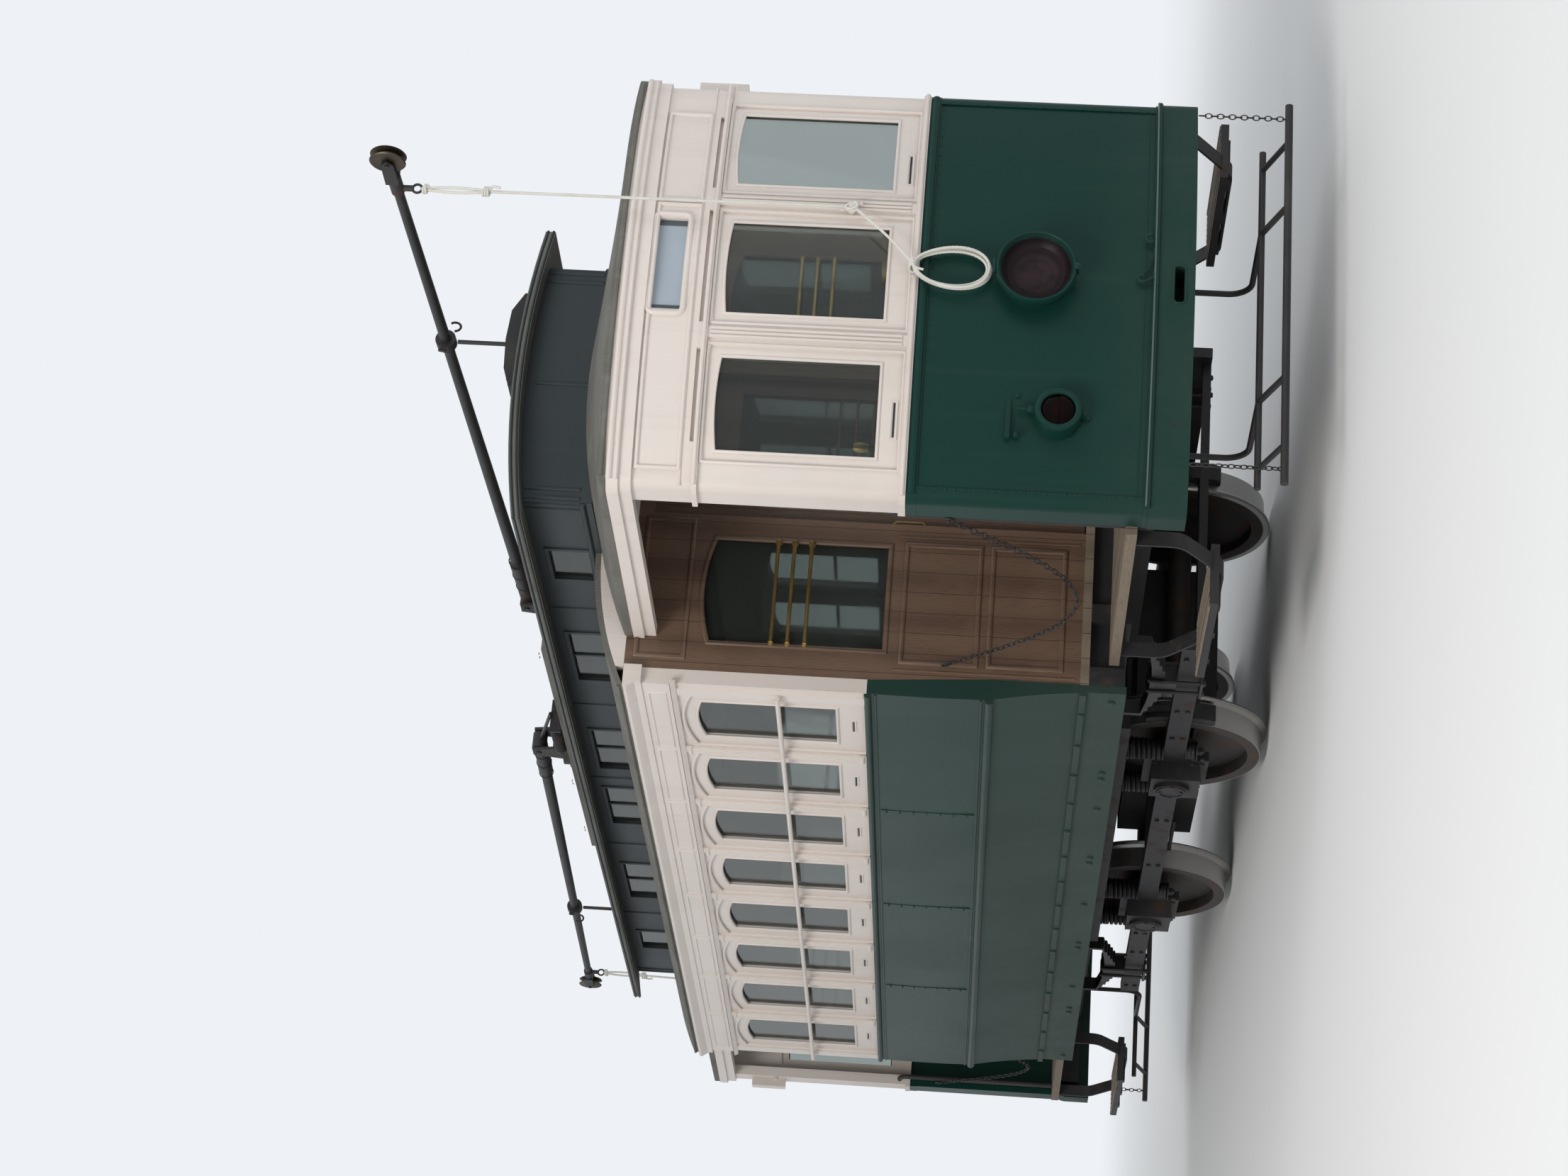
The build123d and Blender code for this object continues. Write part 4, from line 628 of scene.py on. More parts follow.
def wheel_steel():
    """Wheel steel: the tread and flange are rolled bright in fine rings, and the plate and axle are
    dark and rusty; the distance from the axle's line tells them apart."""
    f = Finish("wheel_steel_worn")
    radius = f.off_axis(f.x.size() - AXLE_X, f.z - AXLE_Z)
    bright = radius.between(TREAD_R - 0.008, TREAD_R - 0.002)
    rust = f.noise(13.0, 6.0).between(0.45, 0.7)
    hoop = (radius * 900).wave() * 0.5 + 0.5
    tone = f.mix(rust * 0.6, (0.045, 0.04, 0.037), (0.12, 0.06, 0.035))
    tone = f.mix(bright, tone, (0.42, 0.41, 0.40))
    f.set(Base_Color=tone, Metallic=0.35 + bright * 0.6, Roughness=0.62 - bright * 0.34 + rust * 0.12)
    f.bump(f.noise(120.0, 4.0) * 0.6 + hoop * bright * 0.15, 0.0009)
    return f.material


def brushed_metal(name, colour, rough, dark=(0.09, 0.06, 0.03)):
    """Polished metal gone dull in patches, with fine rubbing marks."""
    f = Finish(name)
    stain = f.noise(8.0, 5.0).between(0.42, 0.74)
    rub = f.noise(260.0, 2.0, stretch=(1, 1, 0.2))
    f.set(Base_Color=f.mix(stain * 0.45, colour, dark), Metallic=0.95,
          Roughness=rough + stain * 0.22 + rub * 0.12)
    f.bump(rub, 0.0003)
    return f.material


def timber(name, colour, dark, along="x", boards=0.0, rough=0.4, coat=0.3, painted=None):
    """Timber: growth lines stretched along the grain, x or z, which bend with a slow noise, pores, and
    joints across the car where boards is the boards' width. Above the hoods it may be painted."""
    f = Finish(name)
    stretch = {"x": (0.08, 1, 1), "z": (1, 1, 0.08)}[along]
    bend = f.noise(1.6, 3.0, stretch=stretch)
    rings = ((f.y * 38 + bend * 9).wave() * 0.5 + 0.5) ** 1.6
    pores = f.noise(260.0, 3.0, stretch=stretch).between(0.45, 0.75)
    wear = f.noise(5.0, 4.0).between(0.4, 0.75)
    tone = f.mix(rings * 0.55, colour, dark)
    tone = f.mix(pores * 0.4, tone, colour_times(dark, 0.6))
    tone = f.mix(wear * 0.25, tone, colour_times(colour, 1.35))
    height = rings * 0.25 - pores * 0.5
    if boards:
        joint = ((f.y / boards).fract() - 0.5).size() > 0.485
        tone = f.mix(joint * 0.8, tone, colour_times(dark, 0.3))
        height = height - joint * 2.5
    if painted:
        tone = f.mix(f.z > FRONT_CORNICE_Z + 0.03, tone, painted)
    f.set(Base_Color=tone, Roughness=rough + wear * 0.2 + pores * 0.1, Coat_Weight=coat, Coat_Roughness=0.2)
    f.bump(height, 0.0012)
    return f.material


def sheet_glass():
    """Window glass: slightly wavy, with a film of dust that dulls it in clouds."""
    f = Finish("window_glass_sheet")
    film = f.noise(5.0, 5.0).between(0.45, 0.85)
    f.set(Base_Color=f.mix(film * 0.10, (0.33, 0.37, 0.355), (0.5, 0.5, 0.46)), Roughness=0.03 + film * 0.10,
          Transmission_Weight=0.96, IOR=1.3, Specular_IOR_Level=0.25)
    f.bump(f.noise(3.0, 2.0), 0.004, 0.25)
    return f.material


def lamp_pane():
    """Clear flat glass of the headlight, seen straight through, with dust in clouds; towards its edge it
    grows more opaque and darker.
    """
    f = Finish("lamp_glass_clear")
    radius = f.off_axis(f.y, f.z - LAMP_Z)
    dust = f.noise(22.0, 3.0).between(0.45, 0.8)
    f.set(Base_Color=(0.02, 0.018, 0.02, 1), Alpha=0.03 + dust * 0.03 + radius.between(0.12, 0.136) * 0.25,
          Roughness=0.25 + dust * 0.2, Specular_IOR_Level=0.2)
    return f.material


def lamp_bowl():
    """Silvered bowl gone dark and purple: turning rings round the lamp's line, and painted shade that makes
    it darker towards the rim.
    """
    f = Finish("lamp_bowl_tarnish_and_painted_shade")
    radius = f.off_axis(f.y, f.z - LAMP_Z)
    rings = (radius * 190).wave() * 0.5 + 0.5
    stain = f.noise(16.0, 3.0).between(0.35, 0.75)
    # Painted shade: towards the rim the bowl is painted darker, where the lamp's body shades it
    tone = f.mix(radius.between(0.05, 0.115), (0.036, 0.023, 0.026), (0.010, 0.005, 0.007))
    tone = f.mix(stain * 0.6, tone, (0.013, 0.007, 0.009))
    f.set(Base_Color=f.mix(rings * 0.2, tone, (0.05, 0.038, 0.042)), Metallic=0.15,
          Roughness=0.34 + stain * 0.2, Specular_IOR_Level=0.12)
    f.bump(rings, 0.0006)
    return f.material


def dark_lens():
    """Ruby glass that looks nearly black by day: dark red in the middle, with fine moulded rings."""
    f = Finish("tail_lens_ruby")
    radius = f.off_axis(f.y.size() - abs(MARKER_Y), f.z - MARKER_Z)
    rings = (radius * 340).wave() * 0.5 + 0.5
    f.set(Base_Color=f.mix(radius.between(0.01, 0.05), (0.007, 0.0015, 0.0015), (0.003, 0.001, 0.001)),
          Roughness=0.08 + rings * 0.04, Specular_IOR_Level=0.06)
    f.bump(rings, 0.0003)
    return f.material


def blind_cloth():
    """Blank roller blind: a fine weave faded in clouds, with a dark strip at each end."""
    f = Finish("blind_cloth_blank")
    weave = (f.y * 2600).wave() * (f.z * 2600).wave()
    fade = f.noise(7.0, 4.0).between(0.3, 0.8)
    edge = f.y.size().between(0.168, 0.172)
    tone = f.mix(fade * 0.4, (0.46, 0.53, 0.60), (0.36, 0.43, 0.50))
    f.set(Base_Color=f.mix(edge * 0.8, tone, (0.03, 0.035, 0.045)), Roughness=0.8 + fade * 0.1)
    f.bump(weave, 0.0004)
    return f.material


def rope_fibre():
    """Pale rope: fine fibres drawn out downwards, handled grey in places."""
    f = Finish("rope_fibre")
    grey = f.noise(9.0, 4.0).between(0.35, 0.75)
    hair = f.noise(700.0, 3.0, stretch=(1, 1, 0.25))
    tone = f.mix(grey * 0.4, (0.80, 0.79, 0.73), (0.52, 0.49, 0.42))
    f.set(Base_Color=f.mix(hair * 0.3, tone, (0.34, 0.31, 0.26)), Roughness=0.85 + hair * 0.1,
          Sheen_Weight=0.25)
    f.bump(hair, 0.0010)
    return f.material


FINISHES = {}


def make_finishes(colours):
    """The finishes by name, painted ones in the colours that a user can change."""
    cream = tuple(colours.cream)
    FINISHES.update({
        "cream_paint": gloss_paint("cream_paint_gloss", cream, 0.9, 2.2, dirt=(0.34, 0.28, 0.22)),
        "green_paint": gloss_paint("green_paint_gloss", tuple(colours.side_green), 0.6, 1.4,
                                   dirt=(0.10, 0.105, 0.09), grain=(0.15, 1, 1), dusty=0.35, shine=0.08),
        "dash_green": gloss_paint("dash_green_gloss", tuple(colours.dash_green), 0.5, 1.0,
                                  dirt=(0.07, 0.085, 0.075), grain=(1, 1, 1), rough=0.24, dusty=0.3,
                                  shine=0.16),
        "light_grey": gloss_paint("grey_paint_satin", tuple(colours.clerestory), 2.7, 3.0,
                                  dirt=(0.09, 0.09, 0.085), rough=0.42, dusty=0.3, shine=0.25),
        # Painted highlight: a lighter green along the bumper ledge's edge stands for the light that catches
        # it
        "ledge_highlight_paint": gloss_paint("dash_edge_painted_highlight", (0.10, 0.15, 0.13), 0.5, 0.6, grain=(1, 1, 1),
                                 dusty=0.1, shine=0.3),
        "roof_canvas": canvas("roof_canvas_painted", tuple(colours.canvas)),
        "black_iron": iron("black_iron_dusty"),
        "spring_steel": iron("spring_steel_oiled", (0.018, 0.018, 0.02), rust=0.15, rough=0.4),
        "wheel_steel": wheel_steel(),
        "wheel_bronze": brushed_metal("wheel_bronze_blackened", (0.085, 0.07, 0.05), 0.4,
                                      dark=(0.02, 0.02, 0.02)),
        "brass": brushed_metal("brass_rubbed", (0.62, 0.44, 0.17), 0.26),
        "brown_timber": timber("brown_timber_varnished", (0.16, 0.095, 0.06), (0.07, 0.035, 0.02), "z",
                               0.09, painted=cream),
        "floor_timber": timber("floor_timber_scrubbed", (0.24, 0.19, 0.14), (0.12, 0.09, 0.06), "x", 0.11,
                               rough=0.65, coat=0.0),
        "seat_timber": timber("seat_timber_varnished", (0.36, 0.19, 0.09), (0.15, 0.07, 0.03), "x"),
        "window_glass": sheet_glass(),
        "lamp_glass": lamp_pane(),
        "reflector": lamp_bowl(),
        "tail_glass": dark_lens(),
        "blind_cloth": blind_cloth(),
        "rope": rope_fibre(),
    })


def clean_mesh(name, surface):
    """A mesh of the surface, its doubles merged and its faces turned outwards."""
    points, faces = surface
    mesh = bpy.data.meshes.new(name)
    mesh.from_pydata(points.tolist(), [], faces.tolist())
    bm = bmesh.new()
    bm.from_mesh(mesh)
    bmesh.ops.remove_doubles(bm, verts=bm.verts, dist=1e-6)
    bmesh.ops.recalc_face_normals(bm, faces=bm.faces)
    bm.to_mesh(mesh)
    bm.free()
    return mesh


def piece(name, slot, spread, *parts, body="root", smooth=32.0, finish_name=None):
    """A finished piece of several parts, spread over the car: edges sharper than the angle stay crisp,
    and its finish, slot and body are set. A piece with no body is left unattached."""
    mesh = clean_mesh(name, spread(joined(*parts)))
    mesh.shade_smooth()
    mesh.set_sharp_from_angle(angle=math.radians(smooth))
    mesh.materials.append(FINISHES[finish_name or slot])
    obj = bpy.data.objects.new(name, mesh)
    bpy.context.collection.objects.link(obj)
    if body:
        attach(obj, body)
    return obj


# Sizes and colours a user would change

class TramSizes(bpy.types.PropertyGroup):
    rope_width: FloatProperty(name="Rope width", description="Thickness of the pole ropes",
                              default=0.012, min=0.006, max=0.02, unit="LENGTH", subtype="DISTANCE")
    bolt_radius: FloatProperty(name="Skirt bolt radius",
                               description="Radius of the bolt heads on the skirts",
                               default=0.016, min=0.004, max=0.03, unit="LENGTH", subtype="DISTANCE")
    bead_width: FloatProperty(name="Bead width", description="Width of the beads round the side sashes",
                              default=0.014, min=0.006, max=0.03, unit="LENGTH", subtype="DISTANCE")
    coil_turns: IntProperty(name="Spring turns", default=7, min=4, max=12,
                            description="Turns in each coil spring beside the axle boxes")
    slat_count: IntProperty(name="Seat slats", description="Slats across each bench seat",
                            default=9, min=4, max=16)


class TramColours(bpy.types.PropertyGroup):
    cream: FloatVectorProperty(name="Cream paint", description="Gloss paint of the upper works",
                               default=(0.74, 0.67, 0.62), min=0, max=1, subtype="COLOR")
    side_green: FloatVectorProperty(name="Side green", description="Gloss paint of the side panels",
                                    default=(0.022, 0.050, 0.041), min=0, max=1, subtype="COLOR")
    dash_green: FloatVectorProperty(name="Dash green", description="Gloss paint of the bow-fronted dashes",
                                    default=(0.006, 0.036, 0.028), min=0, max=1, subtype="COLOR")
    clerestory: FloatVectorProperty(name="Raised roof walls",
                                    description="Satin paint of the raised roof's walls",
                                    default=(0.038, 0.048, 0.052), min=0, max=1, subtype="COLOR")
    canvas: FloatVectorProperty(name="Roof canvas", description="Painted canvas of the roofs",
                                default=(0.165, 0.16, 0.14), min=0, max=1, subtype="COLOR")


NODES_BY_FINISH = {
    "cream_paint": "window_frames side_sashes guard_rails end_frames end_sashes corner_boxes",
    "green_paint": "side_panels",
    "dash_green": "dashes bumpers headlights marker_lamps",
    "light_grey": "clerestory",
    "roof_canvas": "hoods deck_roof monitor_roof trolley_planks",
    "black_iron": "underframe steps controllers lifeguards grab_rails pole_rests trolley_feet truck_frame "
                  "axleboxes motors brake_shoes trolley_base_front trolley_base_rear trolley_pole_front "
                  "trolley_pole_rear pole_fittings_front pole_fittings_rear",
    "spring_steel": "coil_springs leaf_springs",
    "wheel_steel": "wheelset_front wheelset_rear",
    "wheel_bronze": "trolley_wheel_front trolley_wheel_rear",
    "brass": "brake_columns",
    "brown_timber": "bulkheads door_front door_rear",
    "floor_timber": "saloon_floor platforms",
    "seat_timber": "benches",
    "window_glass": "side_glass end_glass clerestory_glass door_glass_front door_glass_rear",
    "lamp_glass": "headlight_glass",
    "tail_glass": "marker_lenses",
    "blind_cloth": "sign_blinds",
    "rope": "rope_hanks",
}


class TRAM_OT_finishes(bpy.types.Operator):
    """Give every CAD node its finish"""
    bl_idname = "tram.finishes"
    bl_label = "Finishes"

    def execute(self, context):
        make_finishes(context.scene.tram_colours)
        finish_of = {node: name for name, nodes in NODES_BY_FINISH.items() for node in nodes.split()}
        for name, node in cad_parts.items():
            for slot in node.material_slots:
                slot.material = FINISHES[finish_of[name]]
        return {"FINISHED"}


class TRAM_OT_window_trim(bpy.types.Operator):
    """Sash beads, grooved pilasters, arch mouldings, letterboard panels and sash pulls of the saloon"""
    bl_idname = "tram.window_trim"
    bl_label = "Window trim"

    def execute(self, context):
        bead = bead_profile(context.scene.tram_sizes.bead_width, 0.007)
        low, high = SILL_Z + 0.122, SPRING_Z + ARCH_RISE - 0.08
        panes = [wall_frame(x - HALF_PANE, x + HALF_PANE, low, high, SASH_Y, bead, 0.024) for x in BAYS]
        piece("side_sash_beads", "cream_paint", sides, *panes)
        arch, reach = bead_profile(0.016, 0.006), HALF_OPENING + 0.006
        arches = [wall_frame(x - reach, x + reach, SILL_Z + 0.006, SPRING_Z, -SIDE_Y, arch, ARCH_RISE)
                  for x in BAYS]
        piece("side_arch_beads", "cream_paint", sides, *arches)
        reed, cap, pilaster_y = strip_profile(0.013, 0.006), bead_profile(0.022, 0.011), -SIDE_Y - 0.010
        reeds = [upright(reed, x + dx, pilaster_y, SILL_Z + 0.03, DRIP_Z - 0.05)
                 for x in POSTS[1:-1] for dx in (-0.019, 0.0, 0.019)]
        caps = [along_car(cap, x - 0.036, x + 0.036, pilaster_y, z)
                for x in POSTS[1:-1] for z in (DRIP_Z - 0.046, SILL_Z + 0.026)]
        piece("pilaster_reeds", "cream_paint", sides, *reeds, *caps)
        bead, margin = bead_profile(0.012, 0.005), 0.02
        boards = [wall_frame(x + margin, x + PITCH - margin, DRIP_Z + 0.022, CORNICE_Z - 0.094,
                             -SIDE_Y - 0.008, bead) for x in POSTS[:-1]]
        piece("letterboard_beads", "cream_paint", sides, *boards)
        rim, slot, pull_z = strip_profile(0.006, 0.003), strip_profile(0.007, 0.001), SILL_Z + 0.057
        pulls = [wall_frame(x - 0.058, x + 0.058, pull_z - 0.009, pull_z + 0.009, SASH_Y, rim)
                 for x in BAYS]
        piece("sash_pulls", "cream_paint", sides, *pulls)
        # Painted shade: a thin black strip in each pull stands for the shadow in its finger slot
        shadow_strips = [along_car(slot, x - 0.052, x + 0.052, SASH_Y, pull_z) for x in BAYS]
        piece("sash_pull_slot_shadows", "black_iron", sides, *shadow_strips)
        return {"FINISHED"}


class TRAM_OT_side_trim(bpy.types.Operator):
    """Belt fillets, panel joints, bolt heads and guard-rail plates along the saloon's sides"""
    bl_idname = "tram.side_trim"
    bl_label = "Side trim"

    def execute(self, context):
        bolt_radius = context.scene.tram_sizes.bolt_radius
        reach = HALF_SALOON - 0.004
        sill = along_car(bead_profile(0.030, 0.019), -reach, reach, -SIDE_Y, SILL_Z - 0.004)
        fillets = [along_car(strip_profile(0.010, 0.006), -reach, reach, -SIDE_Y - 0.0005, z)
                   for z in (BELT_Z + 0.032, SILL_Z - 0.034)]
        piece("side_fillets", "green_paint", sides, sill, *fillets)
        cover = strip_profile(0.030, 0.0025)
        covers = [carried(cover, [[x, -SIDE_Y - 0.0035, BELT_Z + 0.04], [x, -SIDE_Y - 0.004, 1.48],
                                  [x, -SIDE_Y - 0.002, SILL_Z - 0.045]], OUTWARD) for x in JOINT_POSTS]
        piece("side_joint_covers", "green_paint", sides, *covers)
        half_row = (0.56, 0.63, 1.24, 1.59, 1.66, 2.42)
        row = sorted([0.0, *half_row, *(-x for x in half_row)])
        heads = [(x, -SKIRT_Y - 0.0005, FLOOR_Z - 0.13) for x in row]
        heads += [(x, -SKIRT_Y - 0.016, FLOOR_Z - 0.013) for x in np.arange(-7, 8) * 0.33]
        piece("skirt_bolts", "green_paint", sides, bolts(heads, OUTWARD, bolt_radius, 0.008))
        screws = [(x + dx, -SIDE_Y - 0.0065, z) for x in JOINT_POSTS for dx in (-0.009, 0.009)
                  for z in np.linspace(BELT_Z + 0.07, SILL_Z - 0.07, 7)]
        piece("joint_screws", "green_paint", sides, bolts(screws, OUTWARD, 0.0042, 0.002))
        plate, rail_z = ring_profile(0.011, 10, 0.5), 2.08
        plates = [upright(plate, x, -SIDE_Y - 0.0105, rail_z - 0.03, rail_z + 0.03) for x in POSTS]
        piece("guard_rail_plates", "cream_paint", sides, *plates)
        return {"FINISHED"}


class TRAM_OT_front_trim(bpy.types.Operator):
    """Beads, grooved posts, letterboard panels, sign surround and sash pulls of the bow fronts"""
    bl_idname = "tram.front_trim"
    bl_label = "Front trim"

    def execute(self, context):
        pane_bead, sash_bead, sash_back = bead_profile(0.013, 0.006), bead_profile(0.012, 0.006), -0.010
        rings = [bow_frame(a, b, PANE_LOW, PANE_SPRING, pane_bead, sash_back, rise=PANE_RISE)
                 for a, b in FRONT_PANES]
        rings += [bow_frame(a - 0.044, b + 0.044, SASH_LOW, FRONT_DRIP_Z - 0.026, sash_bead)
                  for a, b in FRONT_PANES]
        piece("front_sash_beads", "cream_paint", ends, *rings)
        reeds = []
        for y in [post + dy for post in (-FRONT_POST_Y, FRONT_POST_Y) for dy in (-0.016, 0.0, 0.016)]:
            at = bow_points([y, y], [FRONT_SILL_Z + 0.045, FRONT_DRIP_Z - 0.03], 0.008)
            reeds.append(carried(strip_profile(0.010, 0.006), at, bow_out(at)))
        piece("front_post_reeds", "cream_paint", ends, *reeds)
        low, high, raised = FRONT_DRIP_Z + 0.050, FRONT_CORNICE_Z - 0.104, bead_profile(0.018, 0.011)
        boards = [bow_frame(-0.80, 0.256, low, high, raised, count=32),
                  bow_frame(0.278, 0.704, low, high, raised)]
        piece("front_letterboard_beads", "cream_paint", ends, *boards)
        surround = bow_ring(bead_profile(0.024, 0.013), -0.212, 0.212, 2.443, 2.580, 0.026)
        piece("sign_surround", "cream_paint", ends, surround)
        rails = [bow_strip(-0.86, 0.86, z, bead_profile(width, height), out)
                 for z, width, height, out in ((FRONT_DRIP_Z + 0.044, 0.010, 0.006, 0.0),
                                               (FRONT_DRIP_Z - 0.008, 0.018, 0.011, 0.014),
                                               (FRONT_SILL_Z + 0.013, 0.018, 0.010, 0.012),
                                               (FRONT_CORNICE_Z - 0.010, 0.024, 0.013, 0.027),
                                               (FRONT_CORNICE_Z - 0.036, 0.014, 0.007, 0.027))]
        piece("front_rail_beads", "cream_paint", ends, *rails)
        rim, slot, pull_z = strip_profile(0.006, 0.003), strip_profile(0.008, 0.001), 1.638
        pulls = [bow_frame(a, b, pull_z - 0.011, pull_z + 0.011, rim, sash_back, 6)
                 for a, b in FRONT_PULLS]
        piece("front_sash_pulls", "cream_paint", ends, *pulls)
        # Painted shade: a thin black strip in each pull stands for the shadow in its finger slot
        shadow_strips = [bow_strip(a + 0.006, b - 0.006, pull_z, slot, sash_back, 6) for a, b in FRONT_PULLS]
        piece("front_sash_slot_shadows", "black_iron", ends, *shadow_strips)
        return {"FINISHED"}


class TRAM_OT_dash_trim(bpy.types.Operator):
    """Sheet joints, rivets, ledge edge, drawbar slot lip, coupling hooks and chain of dashes and bumpers"""
    bl_idname = "tram.dash_trim"
    bl_label = "Dash trim"

    def execute(self, context):
        seam = bow_strip(-0.82, 0.82, BUMPER_Z + 0.045, strip_profile(0.006, 0.002))
        rim = bow_strip(-0.85, 0.85, FRONT_SILL_Z - 0.020, bead_profile(0.030, 0.012), 0.008)
        ledge = bow_strip(-0.86, 0.86, BUMPER_Z + 0.002, bead_profile(0.020, 0.016), 0.010)
        piece("dash_beads", "dash_green", ends, seam, rim, ledge)
        # Painted highlight: the ledge's edge bead is painted a lighter green, standing for the light along
        # it
        edge = bow_strip(-0.86, 0.86, BUMPER_Z + 0.0095, bead_profile(0.008, 0.007), 0.0225)
        piece("bumper_ledge_edges", "dash_green", ends, edge, finish_name="ledge_highlight_paint")
        upright_rows = [bow_points([y], z, 0.006)[0] for y in (-0.826, 0.826)
                        for z in np.linspace(BUMPER_Z + 0.05, FRONT_SILL_Z - 0.07, 22)]
        top_row = bow_points(np.linspace(-0.79, 0.79, 34), FRONT_SILL_Z - 0.052)
        piece("dash_rivets", "dash_green", ends, bolts(upright_rows, AHEAD, 0.0055, 0.0030),
              bolts(top_row, AHEAD, 0.0045, 0.0025))
        # Painted shade: a thin black disc on the bumper stands for the shadow inside a small hole
        shadow_disc = [(0, 0), (0.008, 0), (0.009, 0.0015), (0, 0.002)]
        piece("bumper_hole_shadow", "black_iron", ends,
              turned_form(shadow_disc, bow_points([-0.551], 0.622, 0.013)[0], AHEAD, 16))
        lip = bow_ring(bead_profile(0.010, 0.005), -0.080, 0.080, SLOT_Z - 0.023, SLOT_Z + 0.023,
                       0.018, 0.0125)
        piece("drawbar_slot_lip", "dash_green", ends, lip)
        ledge_z = BUMPER_Z + 0.0125
        plates = [bow_strip(y0, y1, ledge_z, strip_profile(0.008, height), out, 4)
                  for y0, y1, height, out in ((-0.243, -0.150, 0.020, 0.006), (0.164, 0.235, 0.020, 0.006),
                                              (-0.02, 0.035, 0.024, 0.004))]
        x, wire, bend = BOW_C + BOW_R + 0.020, 0.006, np.linspace(-0.4, np.pi * 1.3, 15)
        hook = tube(arc((x, 0.012, ledge_z + 0.044), (0, 0.014, 0), (0, 0, 0.016), bend), wire, AHEAD)
        shank = tube([[x, 0.018, ledge_z], [x, 0.012, ledge_z + 0.016], [x, 0.0, ledge_z + 0.030]], wire,
                     AHEAD)
        second = tube(arc((x, 0.185, ledge_z + 0.020), (0, 0.016, 0), (0, 0, 0.014), bend), wire, AHEAD)
        line = hanging((x, 0.026, ledge_z + 0.046), (x + 0.004, 0.111, ledge_z + 0.012), 0.012, 22)
        piece("drawbar_chain_hooks", "dash_green", ends, *plates, hook, shank, second,
              chain(line, 0.013, 0.0032))
        return {"FINISHED"}


class TRAM_OT_lamps(bpy.types.Operator):
    """Reflectors, bulbs, rims and catches of the headlights, rims and lenses of the tail lamps"""
    bl_idname = "tram.lamps"
    bl_label = "Lamps"

    def execute(self, context):
        x = LAMP_FACE_X
        face = (x, 0, LAMP_Z)
        bowl = [(0.1275, -0.0135), (0.122, -0.022), (0.113, -0.036), (0.098, -0.048), (0.070, -0.057),
                (0.034, -0.0594), (0, -0.0600), (0, -0.0612), (0.070, -0.0588), (0.114, -0.038),
                (0.1285, -0.0138)]
        piece("headlight_reflectors", "lamp_glass", ends, turned_form(bowl, face, AHEAD, 48),
              finish_name="reflector")
        bulb = [(0.012, -0.058), (0.012, -0.046), (0.022, -0.036), (0.018, -0.024), (0, -0.020)]
        piece("headlight_bulbs", "lamp_glass", ends, turned_form(bulb, face, AHEAD, 20))
        rim = [(0.1375, -0.002), (0.138, 0.003), (0.142, 0.006), (0.146, 0.005), (0.149, -0.002),
               (0.149, -0.022), (0.145, -0.027), (0.143, -0.020), (0.1375, -0.002)]
        wing_nut = [(0, 0.010), (0.011, 0.010), (0.013, 0.016), (0.006, 0.022), (0, 0.023)]
        catch_z, hinge_z = LAMP_Z - 0.150, LAMP_Z + 0.152
        catch = bar((x - 0.03, 0, catch_z), (x + 0.012, 0, catch_z), 0.020, 0.014, UPWARD)
        hinge = tube([[x - 0.012, -0.03, hinge_z], [x - 0.012, 0.03, hinge_z]], 0.009, UPWARD, 10)
        piece("headlight_rims", "dash_green", ends, turned_form(rim, face, AHEAD, 72), catch, hinge,
              turned_form(wing_nut, (x, 0, catch_z), AHEAD, 12))

        x = BOW_C + math.sqrt(BOW_R ** 2 - MARKER_Y ** 2) + 0.066
        face = (x, MARKER_Y, MARKER_Z)
        ring = [(0.062, -0.004), (0.064, 0.004), (0.072, 0.008), (0.084, 0.004), (0.088, -0.006),
                (0.088, -0.016), (0.085, -0.016), (0.070, -0.004), (0.062, -0.004)]
        lugs = arc((x - 0.002, MARKER_Y, MARKER_Z), (0, 0.078, 0), (0, 0, 0.078), (0.5, 2.6, 4.71))
        stem_x, stem_y, bracket_z = x - 0.030, MARKER_Y + 0.01, MARKER_Z + 0.148
        collar = [(0, -0.012), (0.016, -0.012), (0.018, 0), (0.016, 0.012), (0, 0.012)]
        drip = [(0, 0), (0.007, 0), (0.009, -0.012), (0.005, -0.022), (0, -0.024)]
        knob = [(0, -0.010), (0.012, -0.010), (0.014, 0), (0.012, 0.010), (0, 0.010)]
        piece("marker_rims", "dash_green", ends, turned_form(ring, face, AHEAD, 40),
              bolts(lugs, AHEAD, 0.006, 0.010),
              tube([[stem_x, stem_y, MARKER_Z + 0.080], [stem_x, stem_y, bracket_z]], 0.008, AHEAD, 10),
              turned_form(collar, (stem_x, stem_y, MARKER_Z + 0.100), UPWARD, 14),
              turned_form(drip, (stem_x, MARKER_Y, MARKER_Z - 0.086), UPWARD, 12),
              *[turned_form(knob, (stem_x - 0.03, MARKER_Y + dy, bracket_z), INWARD, 8)
                for dy in (-0.085, 0.075)])
        lens = [(0.063, -0.004), (0.050, 0.006), (0.030, 0.012), (0, 0.014), (0, -0.003), (0.063, -0.005)]
        piece("marker_bullseyes", "tail_glass", ends, turned_form(lens, face, AHEAD, 40))
        return {"FINISHED"}


